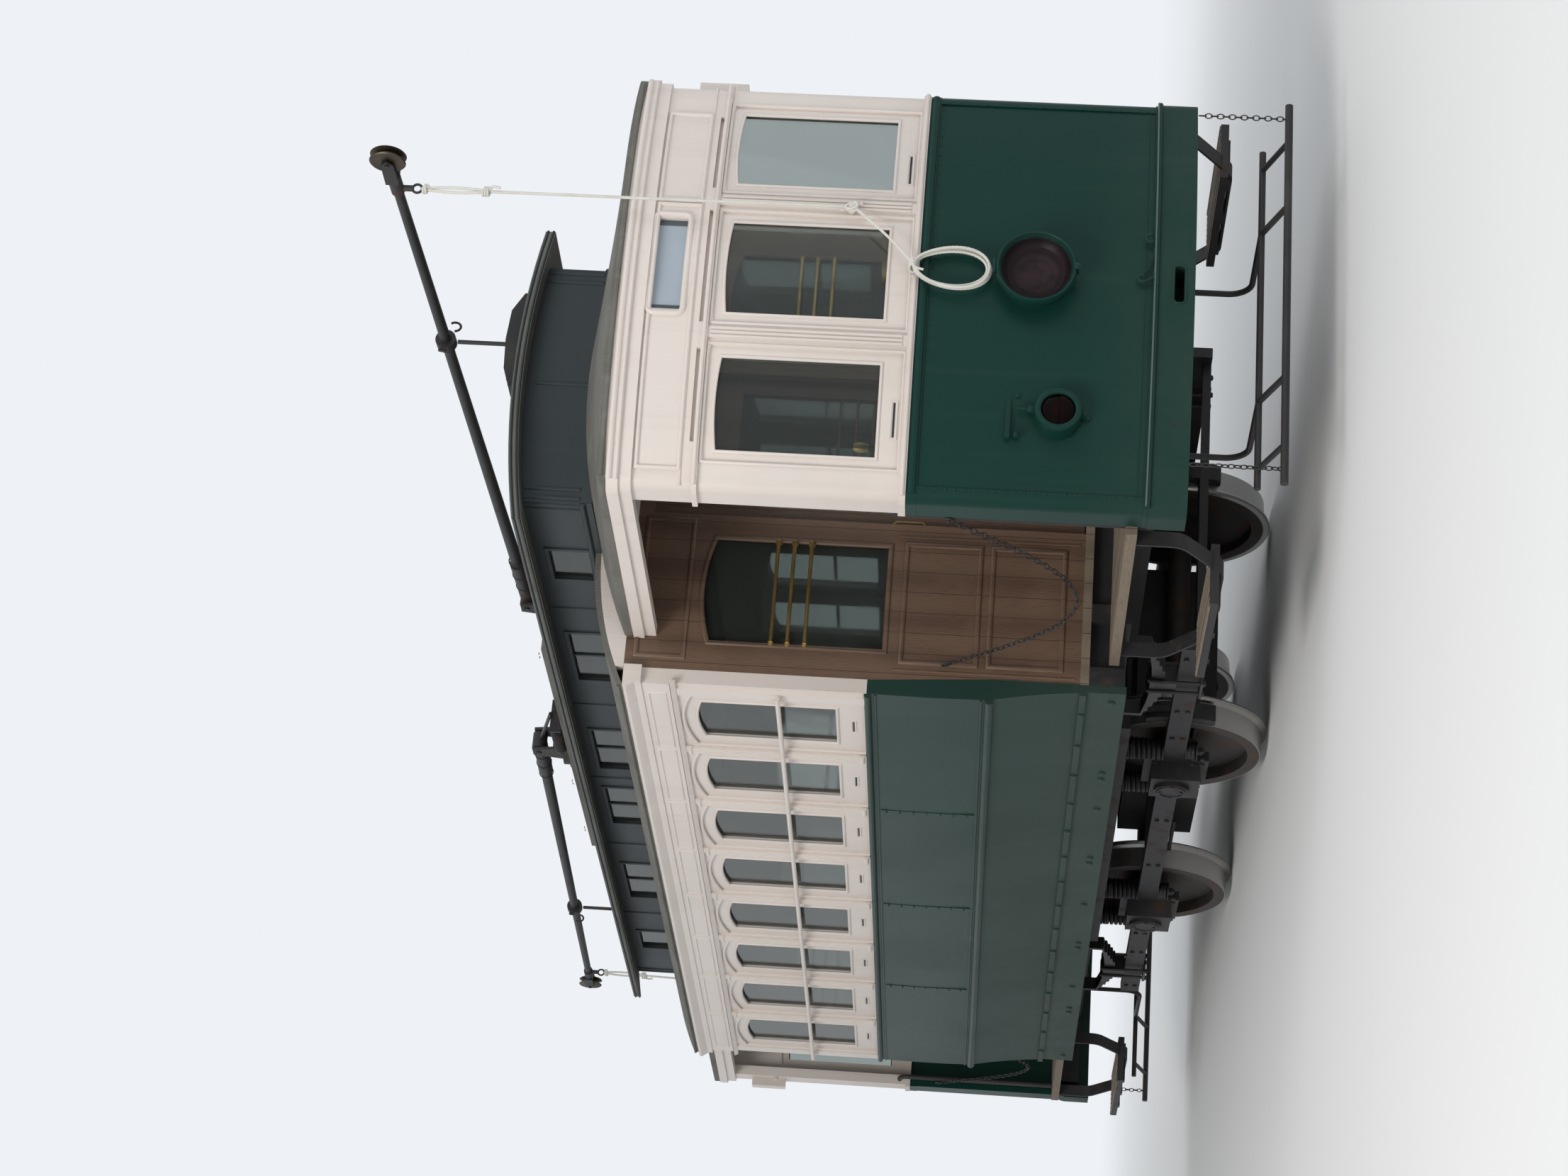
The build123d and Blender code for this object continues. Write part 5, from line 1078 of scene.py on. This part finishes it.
class TRAM_OT_roof_trim(bpy.types.Operator):
    """Hood and gutter battens, raised-roof edge beads, light frames and wall strips"""
    bl_idname = "tram.roof_trim"
    bl_label = "Roof trim"

    def execute(self, context):
        piece("hood_edge_beads", "roof_canvas", ends,
              bow_strip(-0.845, 0.845, FRONT_CORNICE_Z + 0.022, bead_profile(0.020, 0.006), 0.022, 34))
        bead, heights, t = bead_profile(0.010, 0.006), (0.008, 0.030), np.linspace(-1, 1, 25)
        long_edges = [along_car(bead, -MONITOR_X, MONITOR_X, -MONITOR_Y, MONITOR_EDGE_Z + dz)
                      for dz in heights]
        end_edges = []
        for dz in heights:
            crown = MONITOR_EDGE_Z + dz + MONITOR_CROWN * (1 - t * t)
            path = np.stack([np.full_like(t, MONITOR_X), MONITOR_Y * t, crown], axis=1)
            end_edges.append(carried(bead, path, AHEAD))
        piece("raised_roof_edge_beads", "light_grey", once, sides(joined(*long_edges)),
              ends(joined(*end_edges)))
        rim, mullion, edge = strip_profile(0.020, 0.007), strip_profile(0.014, 0.005), 0.010
        frames = [wall_frame(a - edge, b + edge, LIGHT_LOW - edge, LIGHT_HIGH + edge, -LIGHT_Y, rim)
                  for a, b in LIGHTS]
        mullions = [upright(mullion, (a + b) / 2, -LIGHT_Y + 0.009, LIGHT_LOW, LIGHT_HIGH)
                    for a, b in LIGHTS if b - a > 0.3]
        piece("raised_light_frames", "light_grey", sides, *frames, *mullions)
        strip = bead_profile(0.016, 0.006)
        posts = [upright(strip, x, -LIGHT_Y, 2.88, MONITOR_EDGE_Z + 0.015)
                 for x in (-2.94, -2.90, -1.95, -0.90, 0.0, 0.90, 1.95, 2.90, 2.94)]
        foot = along_car(bead_profile(0.024, 0.012), -LIGHT_X, LIGHT_X, -LIGHT_Y, 2.877)
        end_posts = [upright(strip, LIGHT_X, y, 2.89, MONITOR_EDGE_Z + 0.02, AHEAD)
                     for y in (-0.51, -0.47, 0.0, 0.47, 0.51)]
        piece("raised_wall_strips", "light_grey", once, sides(joined(*posts, foot)),
              ends(joined(*end_posts)))
        gutter = along_car(bead_profile(0.014, 0.008), -HALF_SALOON, HALF_SALOON, -SIDE_Y - 0.024,
                           CORNICE_Z + 0.018)
        piece("deck_edge_battens", "roof_canvas", sides, gutter)
        return {"FINISHED"}


def on_pole(x, dy=0.0, dz=0.0):
    """Place on the front pole's middle line, which rises evenly from its pivot, moved by dy and dz."""
    return np.array((x, POLE_Y + dy, POLE_PIVOT_Z + POLE_RISE * (x - POLE_BASE_X) + dz))


def hoop(centre, radius, wire, count, sides_of_wire=8):
    """Closed ring of wire square to the car's length."""
    path = arc(centre, (0, radius, 0), (0, 0, radius), full_turn(count))
    return tube(path, wire, AHEAD, sides_of_wire, closed=True)


class TRAM_OT_roof_gear(bpy.types.Operator):
    """Trolley springs, saddle bolts, pole bands, hooks and eyes, and plank screws"""
    bl_idname = "tram.roof_gear"
    bl_label = "Roof gear"

    def execute(self, context):
        coil_radius, coil_turns, coil_z = 0.029, 15, 3.3235
        t = np.linspace(0, coil_turns * 2 * np.pi, coil_turns * 12)
        for name, turn in CAR_ENDS:
            coils = []
            for y in (POLE_Y - 0.053, POLE_Y + 0.053):
                path = arc((0, y, coil_z), (0, coil_radius, 0), (0, 0, coil_radius), t)
                path[:, 0] = POLE_BASE_X - 0.32 + 0.26 * t / t[-1]
                coils.append(tube(path, 0.0045, AHEAD, 6))
            rod = tube([[POLE_BASE_X - 0.37, POLE_Y, 3.352], [POLE_BASE_X - 0.05, POLE_Y, 3.43]], 0.009,
                       INWARD, 10)
            piece(f"trolley_springs_{name}", "spring_steel", turn, *coils, rod,
                  body=f"trolley_base_{name}")
            bands = [hoop(on_pole(x), radius, 0.003, 20, 6)
                     for x, radius in ((0.86, 0.0345), (0.72, 0.0365), (0.60, 0.0365))]
            heads = bolts([on_pole(REST_X, 0.042), on_pole(REST_X, -0.042)], UPWARD, 0.009, 0.03)
            bend = arc(on_pole(REST_X, 0.062, -0.03) + (0.012, 0, 0), (0, -0.02, 0), (0, 0, -0.024),
                       np.linspace(0, np.pi * 1.25, 12))
            hook = tube(bend, 0.005, AHEAD)
            eye = hoop(on_pole(BAND_X, dz=-0.076), 0.018, 0.005, 18)
            piece(f"pole_bands_{name}", "black_iron", turn, *bands, heads, hook, eye,
                  body=f"trolley_pole_{name}")
        screws = [(x + dx, y, 3.259) for x in (-1.1, -0.45, 0.45, 1.1) for dx in (-0.02, 0.02)
                  for y in (-0.39, -0.27, -0.17, -0.05, 0.05, 0.17, 0.27, 0.39)]
        piece("plank_screws", "black_iron", once, bolts(screws, UPWARD, 0.006, 0.002))
        saddle = [(REST_X + dx, POLE_Y + dy, z) for dx in (-0.025, 0.025)
                  for dy, z in ((-0.17, 3.23), (0.17, 3.22))]
        piece("saddle_bolts", "black_iron", ends, bolts(saddle, UPWARD, 0.010, 0.012))
        return {"FINISHED"}


class TRAM_OT_truck_trim(bpy.types.Operator):
    """Coil springs, spring clips, axle-box bolts, brake rods and hanger bolts of the truck"""
    bl_idname = "tram.truck_trim"
    bl_label = "Truck"

    def execute(self, context):
        turns = context.scene.tram_sizes.coil_turns
        y = -FRAME_Y
        cup = [(0, 0), (0.050, 0), (0.052, 0.004), (0.050, 0.008), (0, 0.008)]
        washer = [(0, 0), (0.042, 0), (0.042, 0.006), (0, 0.006)]
        plate = [(0, 0), (0.044, 0), (0.044, 0.006), (0, 0.006)]
        nut = [(0, -0.022), (0.019, -0.022), (0.019, -0.002), (0.024, 0), (0, 0)]
        coils, seats = [], []
        for x in [axle + dx for axle in AXLES for dx in (-COIL_REACH, COIL_REACH)]:
            coils.append(spring(x, y, FRAME_TOP + 0.008, CHORD_LOW - 0.008, 0.041, 0.021, turns))
            coils.append(spring(x, y, REBOUND_Z + 0.006, FRAME_LOW - 0.006, 0.033, 0.017, 3))
            seats += [turned_form(form, (x, y, z), UPWARD, 24)
                      for form, z in ((cup, FRAME_TOP), (cup, CHORD_LOW - 0.008),
                                      (washer, FRAME_LOW - 0.006), (plate, REBOUND_Z))]
            seats.append(tube([[x, y, REBOUND_Z - 0.03], [x, y, CHORD_LOW]], 0.011, AHEAD, 10))
            seats.append(turned_form(nut, (x, y, REBOUND_Z), UPWARD, 6))
        springs = piece("truck_coils", "spring_steel", sides, *coils, *seats)
        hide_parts("coil_springs")
        box_z, box_y, bar_y = AXLE_Z + 0.010, -0.803, y - 0.0235
        lids = [(axle + dx, box_y, box_z + dz) for axle in AXLES
                for dx, dz in ((-0.062, 0.0), (0.062, 0.0), (0, 0.055), (0, -0.045))]
        rim = [(0.052, 0.802), (0.054, 0.808), (0.066, 0.808), (0.068, 0.802)]
        rims = [turned_form(rim, (axle, 0, box_z), OUTWARD) for axle in AXLES]
        ties = [(axle + dx, bar_y, z) for axle in AXLES for dx in (-0.16, -0.10, 0.10, 0.16)
                for z in (0.29, 0.33, 0.50)]
        row = [(x, bar_y, z) for x in (-2.15, -1.6, -1.3, -0.3, 0.3, 1.3, 1.6, 2.15)
               for z in (0.395, 0.44)]
        piece("truck_bolts", "black_iron", sides, bolts(lids, OUTWARD, 0.010, 0.009), *rims,
              bolts(ties, OUTWARD, 0.013, 0.010), bolts(row, OUTWARD, 0.012, 0.010))
        clips, legs, wire = [], (y - 0.042, y + 0.042), 0.008
        for middle in (-LEAF_X, LEAF_X):
            clip_places = (middle - 0.052, middle + 0.052)
            for x in clip_places:
                clips += [tube([[x, leg, 0.345], [x, leg, 0.585]], wire, AHEAD) for leg in legs]
                clips.append(tube([[x, legs[0], 0.580], [x, legs[1], 0.580]], wire, AHEAD))
            clips.append(bar((middle - 0.075, y, 0.363), (middle + 0.075, y, 0.363), 0.11, 0.012, UPWARD))
            nuts = [(x, leg, 0.358) for x in clip_places for leg in legs]
            clips.append(bolts(nuts, (0, 0, -1), 0.014, 0.014))
        piece("spring_clips", "spring_steel", sides, *clips)
        beam_x = AXLE_X + 0.40
        pull_rod = tube([[beam_x + 0.01, -0.585, 0.33], [0.22, -0.50, 0.33]], 0.010, UPWARD, 10)
        beam = tube([[beam_x, -0.62, 0.34], [beam_x, 0.62, 0.34]], 0.016, UPWARD, 12)
        piece("brake_rods", "black_iron", corners, pull_rod, beam)
        return {"FINISHED"}


class TRAM_OT_benches(bpy.types.Operator):
    """Slatted lengthwise seats with turned-down fronts and slatted backs"""
    bl_idname = "tram.benches"
    bl_label = "Benches"

    def execute(self, context):
        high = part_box("benches")[1]
        reach, wall, top = high[0], -high[1], FLOOR_Z + 0.43
        front = wall + 0.44
        seat_y = np.linspace(wall + 0.05, front - 0.02, context.scene.tram_sizes.slat_count)
        dip = 0.018 * np.sin(np.linspace(0.2, np.pi, len(seat_y)))
        slat = strip_profile((seat_y[1] - seat_y[0]) * 0.86, 0.012, root=0.012)
        back_slat = strip_profile(0.05, 0.010, root=0.010)
        front_slat = strip_profile(0.056, 0.008, root=0.008)
        parts = [along_car(slat, -reach, reach, y, top - 0.012 - d, UPWARD) for y, d in zip(seat_y, dip)]
        parts += [along_car(back_slat, -reach, reach, wall + 0.015 + (SILL_Z - z) * 0.10, z, (0, 1, 0.12))
                  for z in np.linspace(top + 0.07, SILL_Z - 0.045, 6)]
        parts += [along_car(front_slat, -reach, reach, front - 0.05, z, INWARD)
                  for z in np.linspace(FLOOR_Z + 0.05, top - 0.075, 6)]
        bearer_z, back_y, leg_y, width = top - 0.055, wall + 0.012, front - 0.075, 0.035
        for x in np.linspace(-reach + 0.03, reach - 0.03, 7):
            parts.append(bar((x, wall + 0.02, bearer_z), (x, front - 0.03, bearer_z), width, 0.05, UPWARD))
            parts.append(bar((x, back_y, top), (x, back_y, SILL_Z - 0.02), width, 0.022, INWARD))
            parts.append(bar((x, leg_y, FLOOR_Z), (x, leg_y, top - 0.03), width, 0.04, INWARD))
        seats = piece("slatted_benches", "seat_timber", sides, *parts)
        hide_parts("benches")
        return {"FINISHED"}


class TRAM_OT_inside_trim(bpy.types.Operator):
    """Mouldings and bars of the bulkheads, door handles, dials and straps of the controllers, step treads"""
    bl_idname = "tram.inside_trim"
    bl_label = "Platforms and doors"

    def execute(self, context):
        x, moulding = HALF_SALOON, bead_profile(0.022, 0.009)
        trim = [end_frame(y0, y1, z0, z1, x, moulding, rise)
                for y0, y1, z0, z1, rise in ((0.43, 0.90, 1.665, 2.377, 0.04), (0.42, 0.94, 0.96, 1.25, 0),
                                             (0.42, 0.94, 1.30, 1.60, 0), (0.36, 0.97, 2.47, 2.66, 0))]
        lines = [upright(strip_profile(0.008, 0.004), x, y, 0.90, 1.63, AHEAD) for y in (0.385, 0.975)]
        piece("bulkhead_mouldings", "brown_timber", corners, *trim, *lines)
        heights, reach = (1.986, 2.056, 2.122), (0.44, 0.89)
        foot = [(0, 0), (0.016, 0), (0.013, 0.006), (0.008, 0.018), (0, 0.018)]
        bars = [tube([[x + 0.018, y, z] for y in reach], 0.008, UPWARD, 10) for z in heights]
        feet = [turned_form(foot, (x, y, z), AHEAD, 12) for z in heights for y in reach]
        piece("bulkhead_guard_bars", "brass", corners, *bars, *feet)
        low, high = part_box("door_front")
        inner, y = low[0], low[1] + 0.055
        bail = tube([[inner + 0.002, y, 1.55], [inner - 0.016, y, 1.56], [inner - 0.022, y, 1.64],
                     [inner - 0.016, y, 1.72], [inner + 0.002, y, 1.73]], 0.007, INWARD, 10)
        rim = np.insert(rounded(y - 0.019, y + 0.019, 1.535, 1.665, 0.019), 0, high[0], axis=1)
        pull = carried(strip_profile(0.007, 0.001), rim, AHEAD, closed=True)
        for name, turn in CAR_ENDS:
            piece(f"door_handle_{name}", "brass", turn, bail, pull, body=f"door_{name}")
        x, y, top = 3.58, -0.47, PLATFORM_Z + 0.84
        dial = [(0, 0.056), (0.085, 0.056), (0.088, 0.060), (0.080, 0.064), (0.02, 0.066), (0, 0.066)]
        collar = [(0.100, 0.0), (0.106, 0.004), (0.106, 0.016), (0.100, 0.020)]
        knob = [(0.013, 0.13), (0.020, 0.15), (0.021, 0.17), (0.015, 0.19), (0.0, 0.194)]
        piece("control_dials", "brass", ends, turned_form(dial, (x, y, top), UPWARD, 36),
              turned_form(collar, (x, y, top), UPWARD, 36),
              turned_form(knob, (x - 0.136, y, top), UPWARD, 20))
        straps = [bar((x - 0.112, y - 0.13, z), (x - 0.112, y + 0.13, z), 0.012, 0.010, AHEAD)
                  for z in (0.83, 1.15, 1.50)]
        piece("control_straps", "black_iron", ends, *straps)
        step_x = (2.78, 3.43)
        nosing = bar((step_x[0], -1.040, 0.443), (step_x[1], -1.040, 0.443), 0.018, 0.006, UPWARD)
        ribs = [along_car(strip_profile(0.012, 0.003), *step_x, y, 0.442, UPWARD)
                for y in np.linspace(-1.01, -0.83, 8)]
        piece("step_treads", "floor_timber", corners, nosing, *ribs)
        return {"FINISHED"}


class TRAM_OT_chains(bpy.types.Operator):
    """Gate chains across the entrances and the chains that hold the lifeguards"""
    bl_idname = "tram.chains"
    bl_label = "Chains"

    def execute(self, context):
        t = np.linspace(0, 1, 60)
        inner, outer, sag = np.array((2.53, -0.95, 1.42)), np.array((3.66, -0.86, 1.42)), 0.50
        line = inner + (outer - inner) * t[:, None]
        line[:, 2] -= sag * 4 * t * (1 - t) * (0.75 + 0.25 * 4 * t * (1 - t))
        ring = arc((0, 0, 0), (0.012, 0, 0), (0, 0, 0.012), full_turn(14))
        eyes = [tube(place + ring, 0.004, INWARD, 6, closed=True) for place in (inner, outer)]
        piece("gate_chains", "black_iron", corners, chain(line, 0.026, 0.005), *eyes)
        drop = np.linspace((3.97, -0.74, 0.56), (3.97, -0.74, 0.225), 60)
        piece("lifeguard_chains", "black_iron", corners, chain(drop, 0.022, 0.005))
        return {"FINISHED"}


def rope_surface(points, radius, twist=0.045, count=12, lobes=3):
    """Laid rope along a line of points: the section is r (0.84 + 0.16 |cos(lobes (t - w) / 2)|), and w
    turns once in each length of the twist."""
    length, place = measured(np.asarray(points, dtype=float))
    at = np.linspace(0, length, max(int(length / 0.005), 8))
    line = place(at)
    along = unit(np.gradient(line, axis=0))
    side = unit(np.cross(along, AHEAD) + 1e-9)
    up = np.cross(side, along)
    t = full_turn(count)
    w = at / twist * 2 * np.pi
    r = radius * (0.84 + 0.16 * np.abs(np.cos(lobes * (t[None] - w[:, None]) / 2)))
    ring = side[:, None] * (r * np.cos(t))[..., None] + up[:, None] * (r * np.sin(t))[..., None]
    return grid(line[:, None] + ring, close_cols=True, capped=True)


def smooth_route(name, points):
    """Points along the NURBS spline of third order whose control points are given."""
    curve = bpy.data.curves.new(name, "CURVE")
    curve.dimensions = "3D"
    curve.resolution_u = 10
    spline = curve.splines.new("NURBS")
    spline.points.add(len(points) - 1)
    spline.points.foreach_set("co", np.hstack([points, np.ones((len(points), 1))]).ravel())
    spline.order_u = 3
    spline.use_endpoint_u = True
    holder = bpy.data.objects.new(name, curve)
    mesh = bpy.data.meshes.new_from_object(holder)
    line = np.empty(len(mesh.vertices) * 3)
    mesh.vertices.foreach_get("co", line)
    bpy.data.objects.remove(holder)
    bpy.data.meshes.remove(mesh)
    return line.reshape(-1, 3)


def wound(centre, a, b, radius, turns):
    """Cord wound round: centre + a cos t + b sin t, moved along a x b by its own width each turn."""
    t = np.linspace(0, turns * 2 * np.pi, 18 * turns + 1)
    step = unit(np.cross(a, b).astype(float)) * radius * 2.02
    return tube(arc(centre, a, b, t) + step * (t[:, None] / (2 * np.pi) - turns / 2), radius, step)


def hank_line(back, top, foot, r):
    """Middle of the hanging coil, three loops that start and end at the lashing: each goes out to a side
    by sin t and down by sin^2 (t / 2), lies a rope's width before the one behind it, and differs a
    little in width and length from the next."""
    t = np.linspace(0.12, HANK_TURNS * 2 * np.pi - 0.12, HANK_TURNS * 16)
    u = t / (2 * np.pi)
    wide = (HANK_WIDE + 0.009 * np.cos(2.3 * u)) * (0.76 + 0.24 * np.sin(t / 2) ** 2)
    sink = (top - foot) * (0.970 + 0.030 * np.cos(1.9 * u)) * np.sin(t / 2) ** 2
    ahead = 2.05 * r * u + 0.012 * np.cos(t / 2) ** 12
    return np.stack([back + ahead, HANK_Y + wide * np.sin(t), top - sink], axis=1)


class TRAM_OT_ropes(bpy.types.Operator):
    """Pole ropes: the doubled top, the taut run to the cleat, the lead, the lashing and the hank"""
    bl_idname = "tram.ropes"
    bl_label = "Ropes"

    def execute(self, context):
        r = context.scene.tram_sizes.rope_width / 2
        low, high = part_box("rope_hanks")
        back = high[0] - HANK_DEEP + r + 0.0006
        top = high[2] - r
        hank = hank_line(back, top, low[2] + r, r)
        eye, knot = on_pole(BAND_X, dz=-0.092), np.array((4.090, 0.192, 3.196))
        cleat, tie = bow_points([0.262], 1.846, 0.032)[0], np.array((back + 0.022, HANK_Y, top))

        t = np.linspace(0, 1, 14)[:, None]
        bulge = np.array((0, 0.010, 0)) * np.sin(np.pi * t) ** 0.7
        doubled = [rope_surface(eye + (knot - eye) * t + side * bulge, r) for side in (-1, 1)]
        collars = [wound(eye + (knot - eye) * at, (0.011, 0, 0), (0, 0.017, 0), r * 0.8, turns)
                   for at, turns in ((0.06, 2), (0.97, 3))]
        tail = tube(knot + [(0.006, 0.008, 0.0), (0.012, 0.016, -0.02), (0.010, 0.012, -0.045)], r * 0.9,
                    AHEAD)
        taut = rope_surface(knot + (cleat - knot) * np.linspace(0, 1, 40)[:, None], r)

        post = turned_form([(0.016, -0.030), (0.014, -0.012), (0.009, -0.008), (0.009, 0.002),
                            (0.014, 0.006), (0, 0.010)], cleat, AHEAD, 16)
        horns = tube(cleat + [(0.001, 0.018, -0.040), (-0.002, 0.010, -0.022), (0, 0, 0),
                              (-0.002, -0.010, 0.022), (0.001, -0.018, 0.040)], 0.006, AHEAD, 10)
        wraps = [wound(cleat + (dx, 0, 0), (0, 0.014, dz), (0, 0, 0.020), r * 0.75, 2)
                 for dx, dz in ((-0.002, 0.006), (0.006, -0.006))]
        slack = hanging(cleat + (0, -0.006, -0.016), tie + (0.004, 0.018, 0.008), 0.010, 20)
        lead = tube(slack, r * 0.9, AHEAD)
        peg = turned_form([(0.011, -0.024), (0.010, -0.012), (0.007, -0.006), (0.007, 0.004),
                           (0.011, 0.008), (0, 0.012)], (back - r, HANK_Y - 0.030, top - 0.004), AHEAD, 14)
        lash = wound(tie, (0.026, 0, 0), (0, 0, 0.0135), r * 0.8, 3)
        lash_tail = tube(tie + [(0.024, -0.012, 0.0), (0.030, -0.024, -0.014), (0.026, -0.028, -0.040)],
                         r * 0.8, AHEAD)

        for name, turn in CAR_ENDS:
            flip = np.array((1, 1, 1) if name == "front" else (-1, -1, 1))
            upper = piece(f"pole_rope_top_{name}", "rope", turn, *doubled, *collars, tail, body=None,
                          smooth=60)
            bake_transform(upper)
            run = piece(f"pole_rope_run_{name}", "rope", turn, taut, body=None, smooth=60)
            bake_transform(run)
            piece(f"rope_cleat_{name}", "cream_paint", turn, post, horns)
            piece(f"rope_lead_{name}", "rope", turn, *wraps, lead)
            piece(f"hank_peg_{name}", "cream_paint", turn, peg)
            lashing = piece(f"hank_lashing_{name}", "rope", turn, lash, lash_tail)
            route = smooth_route(f"hank_route_{name}", hank * flip)
            coil = piece(f"rope_hank_{name}", "rope", once, rope_surface(route, r), smooth=60)
            if name == "front":
                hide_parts("rope_hanks")
        return {"FINISHED"}


BACKDROP = (0.93, 0.96, 1.0, 1)
BACKDROP_LEVEL = 0.92
SKY_LEVEL = 0.44


def pale_floor():
    """Pale ground whose edge fades into the backdrop for the camera, from 5.5 to 16 m away."""
    f = Finish("floor_pale")
    cloud = f.noise(0.8, 3.0)
    f.set(Base_Color=f.mix(cloud * 0.3, (0.86, 0.86, 0.85), (0.80, 0.80, 0.79)), Roughness=0.9 - cloud * 0.1)
    seen = f.node("ShaderNodeLightPath", {}, {}, out="Is Camera Ray")
    away = f.off_axis(f.x, f.y).between(5.5, 16.0)
    glow = f.node("ShaderNodeEmission", {}, {"Color": BACKDROP, "Strength": BACKDROP_LEVEL})
    both = f.node("ShaderNodeMixShader", {}, {0: away * seen, 1: Value(f, f.shader.outputs[0]), 2: glow})
    f.feed(f.tree.nodes["Material Output"].inputs["Surface"], both)
    return f.material


def soft_sky():
    """World that lights softly and shows the backdrop to the camera, to gloss and through glass."""
    world = bpy.data.worlds.new("soft_sky")
    world.use_nodes = True
    sky = Nodes(world.node_tree)
    camera, through, glossy = (sky.node("ShaderNodeLightPath", {}, {}, out=f"Is {kind} Ray")
                               for kind in ("Camera", "Transmission", "Glossy"))
    seen = camera.maths("MAXIMUM", through).maths("MAXIMUM", glossy)
    level = sky.node("ShaderNodeMapRange", {},
                     {"Value": seen, "To Min": SKY_LEVEL, "To Max": BACKDROP_LEVEL})
    back = world.node_tree.nodes["Background"]
    sky.feed(back.inputs["Color"], BACKDROP)
    sky.feed(back.inputs["Strength"], level)
    return world


WARM_LIGHT = (1.0, 0.97, 0.93)
COOL_LIGHT = (0.92, 0.96, 1.0)

# Each lamp's name, place, aim, width in metres, power in watts and colour
LAMPS = (
    ("key", (11.0, -10.0, 9.5), (1.5, 0, 1.5), 7.0, 1120.0, WARM_LIGHT),
    ("fill", (12.0, 7.0, 5.0), (2.0, 0, 1.5), 7.0, 320.0, COOL_LIGHT),
    ("back", (-9.0, 9.0, 8.0), (0, 0, 1.5), 8.0, 430.0, COOL_LIGHT),
)


class TRAM_OT_stage(bpy.types.Operator):
    """Pale floor, soft lamps and the camera at the photograph's viewing angle"""
    bl_idname = "tram.stage"
    bl_label = "Stage"

    def execute(self, context):
        scene, link = context.scene, context.collection.objects.link
        rings = [arc((0, 0, -0.002), (radius, 0, 0), (0, radius, 0), full_turn(64))
                 for radius in (0.0, 4.0, 12.0, 30.0, 90.0)]
        mesh = clean_mesh("floor", grid(rings, close_cols=True))
        mesh.materials.append(pale_floor())
        floor = bpy.data.objects.new("floor", mesh)
        link(floor)
        scene.world = soft_sky()
        for name, place, aim, size, power, colour in LAMPS:
            lamp = bpy.data.lights.new(name, "AREA")
            lamp.shape = "DISK"
            lamp.size = size
            lamp.energy = power
            lamp.color = colour
            obj = bpy.data.objects.new(name, lamp)
            obj.location = place
            obj.rotation_euler = (Vector(aim) - Vector(place)).to_track_quat("-Z", "Y").to_euler()
            obj.visible_glossy = name == "key"
            link(obj)
        aim = CAMERA_AHEAD * FOCAL_PX + CAMERA_RIGHT * MIDDLE_RIGHT_PX + CAMERA_UP * MIDDLE_UP_PX
        aim = aim.normalized()
        right = (CAMERA_RIGHT - aim * CAMERA_RIGHT.dot(aim)).normalized()
        up = right.cross(aim)
        camera = bpy.data.cameras.new("camera")
        camera.lens = CAMERA_LENS
        camera.sensor_width = 36.0
        camera.clip_end = 200.0
        obj = bpy.data.objects.new("camera", camera)
        # The photograph lies on its side, so the camera does too
        sideways = Matrix((-up, right, -aim)).transposed().to_4x4()
        obj.matrix_world = Matrix.Translation(CAMERA_AT) @ sideways
        link(obj)
        scene.camera = obj
        scene.view_settings.view_transform = "Standard"
        return {"FINISHED"}


OPERATORS = (TRAM_OT_finishes, TRAM_OT_window_trim, TRAM_OT_side_trim, TRAM_OT_front_trim, TRAM_OT_dash_trim,
             TRAM_OT_lamps, TRAM_OT_roof_trim, TRAM_OT_roof_gear, TRAM_OT_truck_trim, TRAM_OT_benches,
             TRAM_OT_inside_trim, TRAM_OT_chains, TRAM_OT_ropes, TRAM_OT_stage)


class TRAM_PT_panel(bpy.types.Panel):
    """Lists the tram's sizes, colours and pieces"""
    bl_idname = "TRAM_PT_panel"
    bl_label = "Tram"
    bl_space_type = "VIEW_3D"
    bl_region_type = "UI"
    bl_category = "Tram"

    def draw(self, context):
        for group in (context.scene.tram_sizes, context.scene.tram_colours):
            for key in group.__annotations__:
                self.layout.prop(group, key)
        for operator in OPERATORS:
            self.layout.operator(operator.bl_idname)


CLASSES = (TramSizes, TramColours, *OPERATORS, TRAM_PT_panel)


def register():
    for cls in CLASSES:
        bpy.utils.register_class(cls)
    bpy.types.Scene.tram_sizes = PointerProperty(type=TramSizes)
    bpy.types.Scene.tram_colours = PointerProperty(type=TramColours)


def unregister():
    del bpy.types.Scene.tram_sizes
    del bpy.types.Scene.tram_colours
    for cls in reversed(CLASSES):
        bpy.utils.unregister_class(cls)


def main():
    register()
    for operator in OPERATORS:
        group, name = operator.bl_idname.split(".")
        getattr(getattr(bpy.ops, group), name)()


if __name__ == "__main__":
    main()
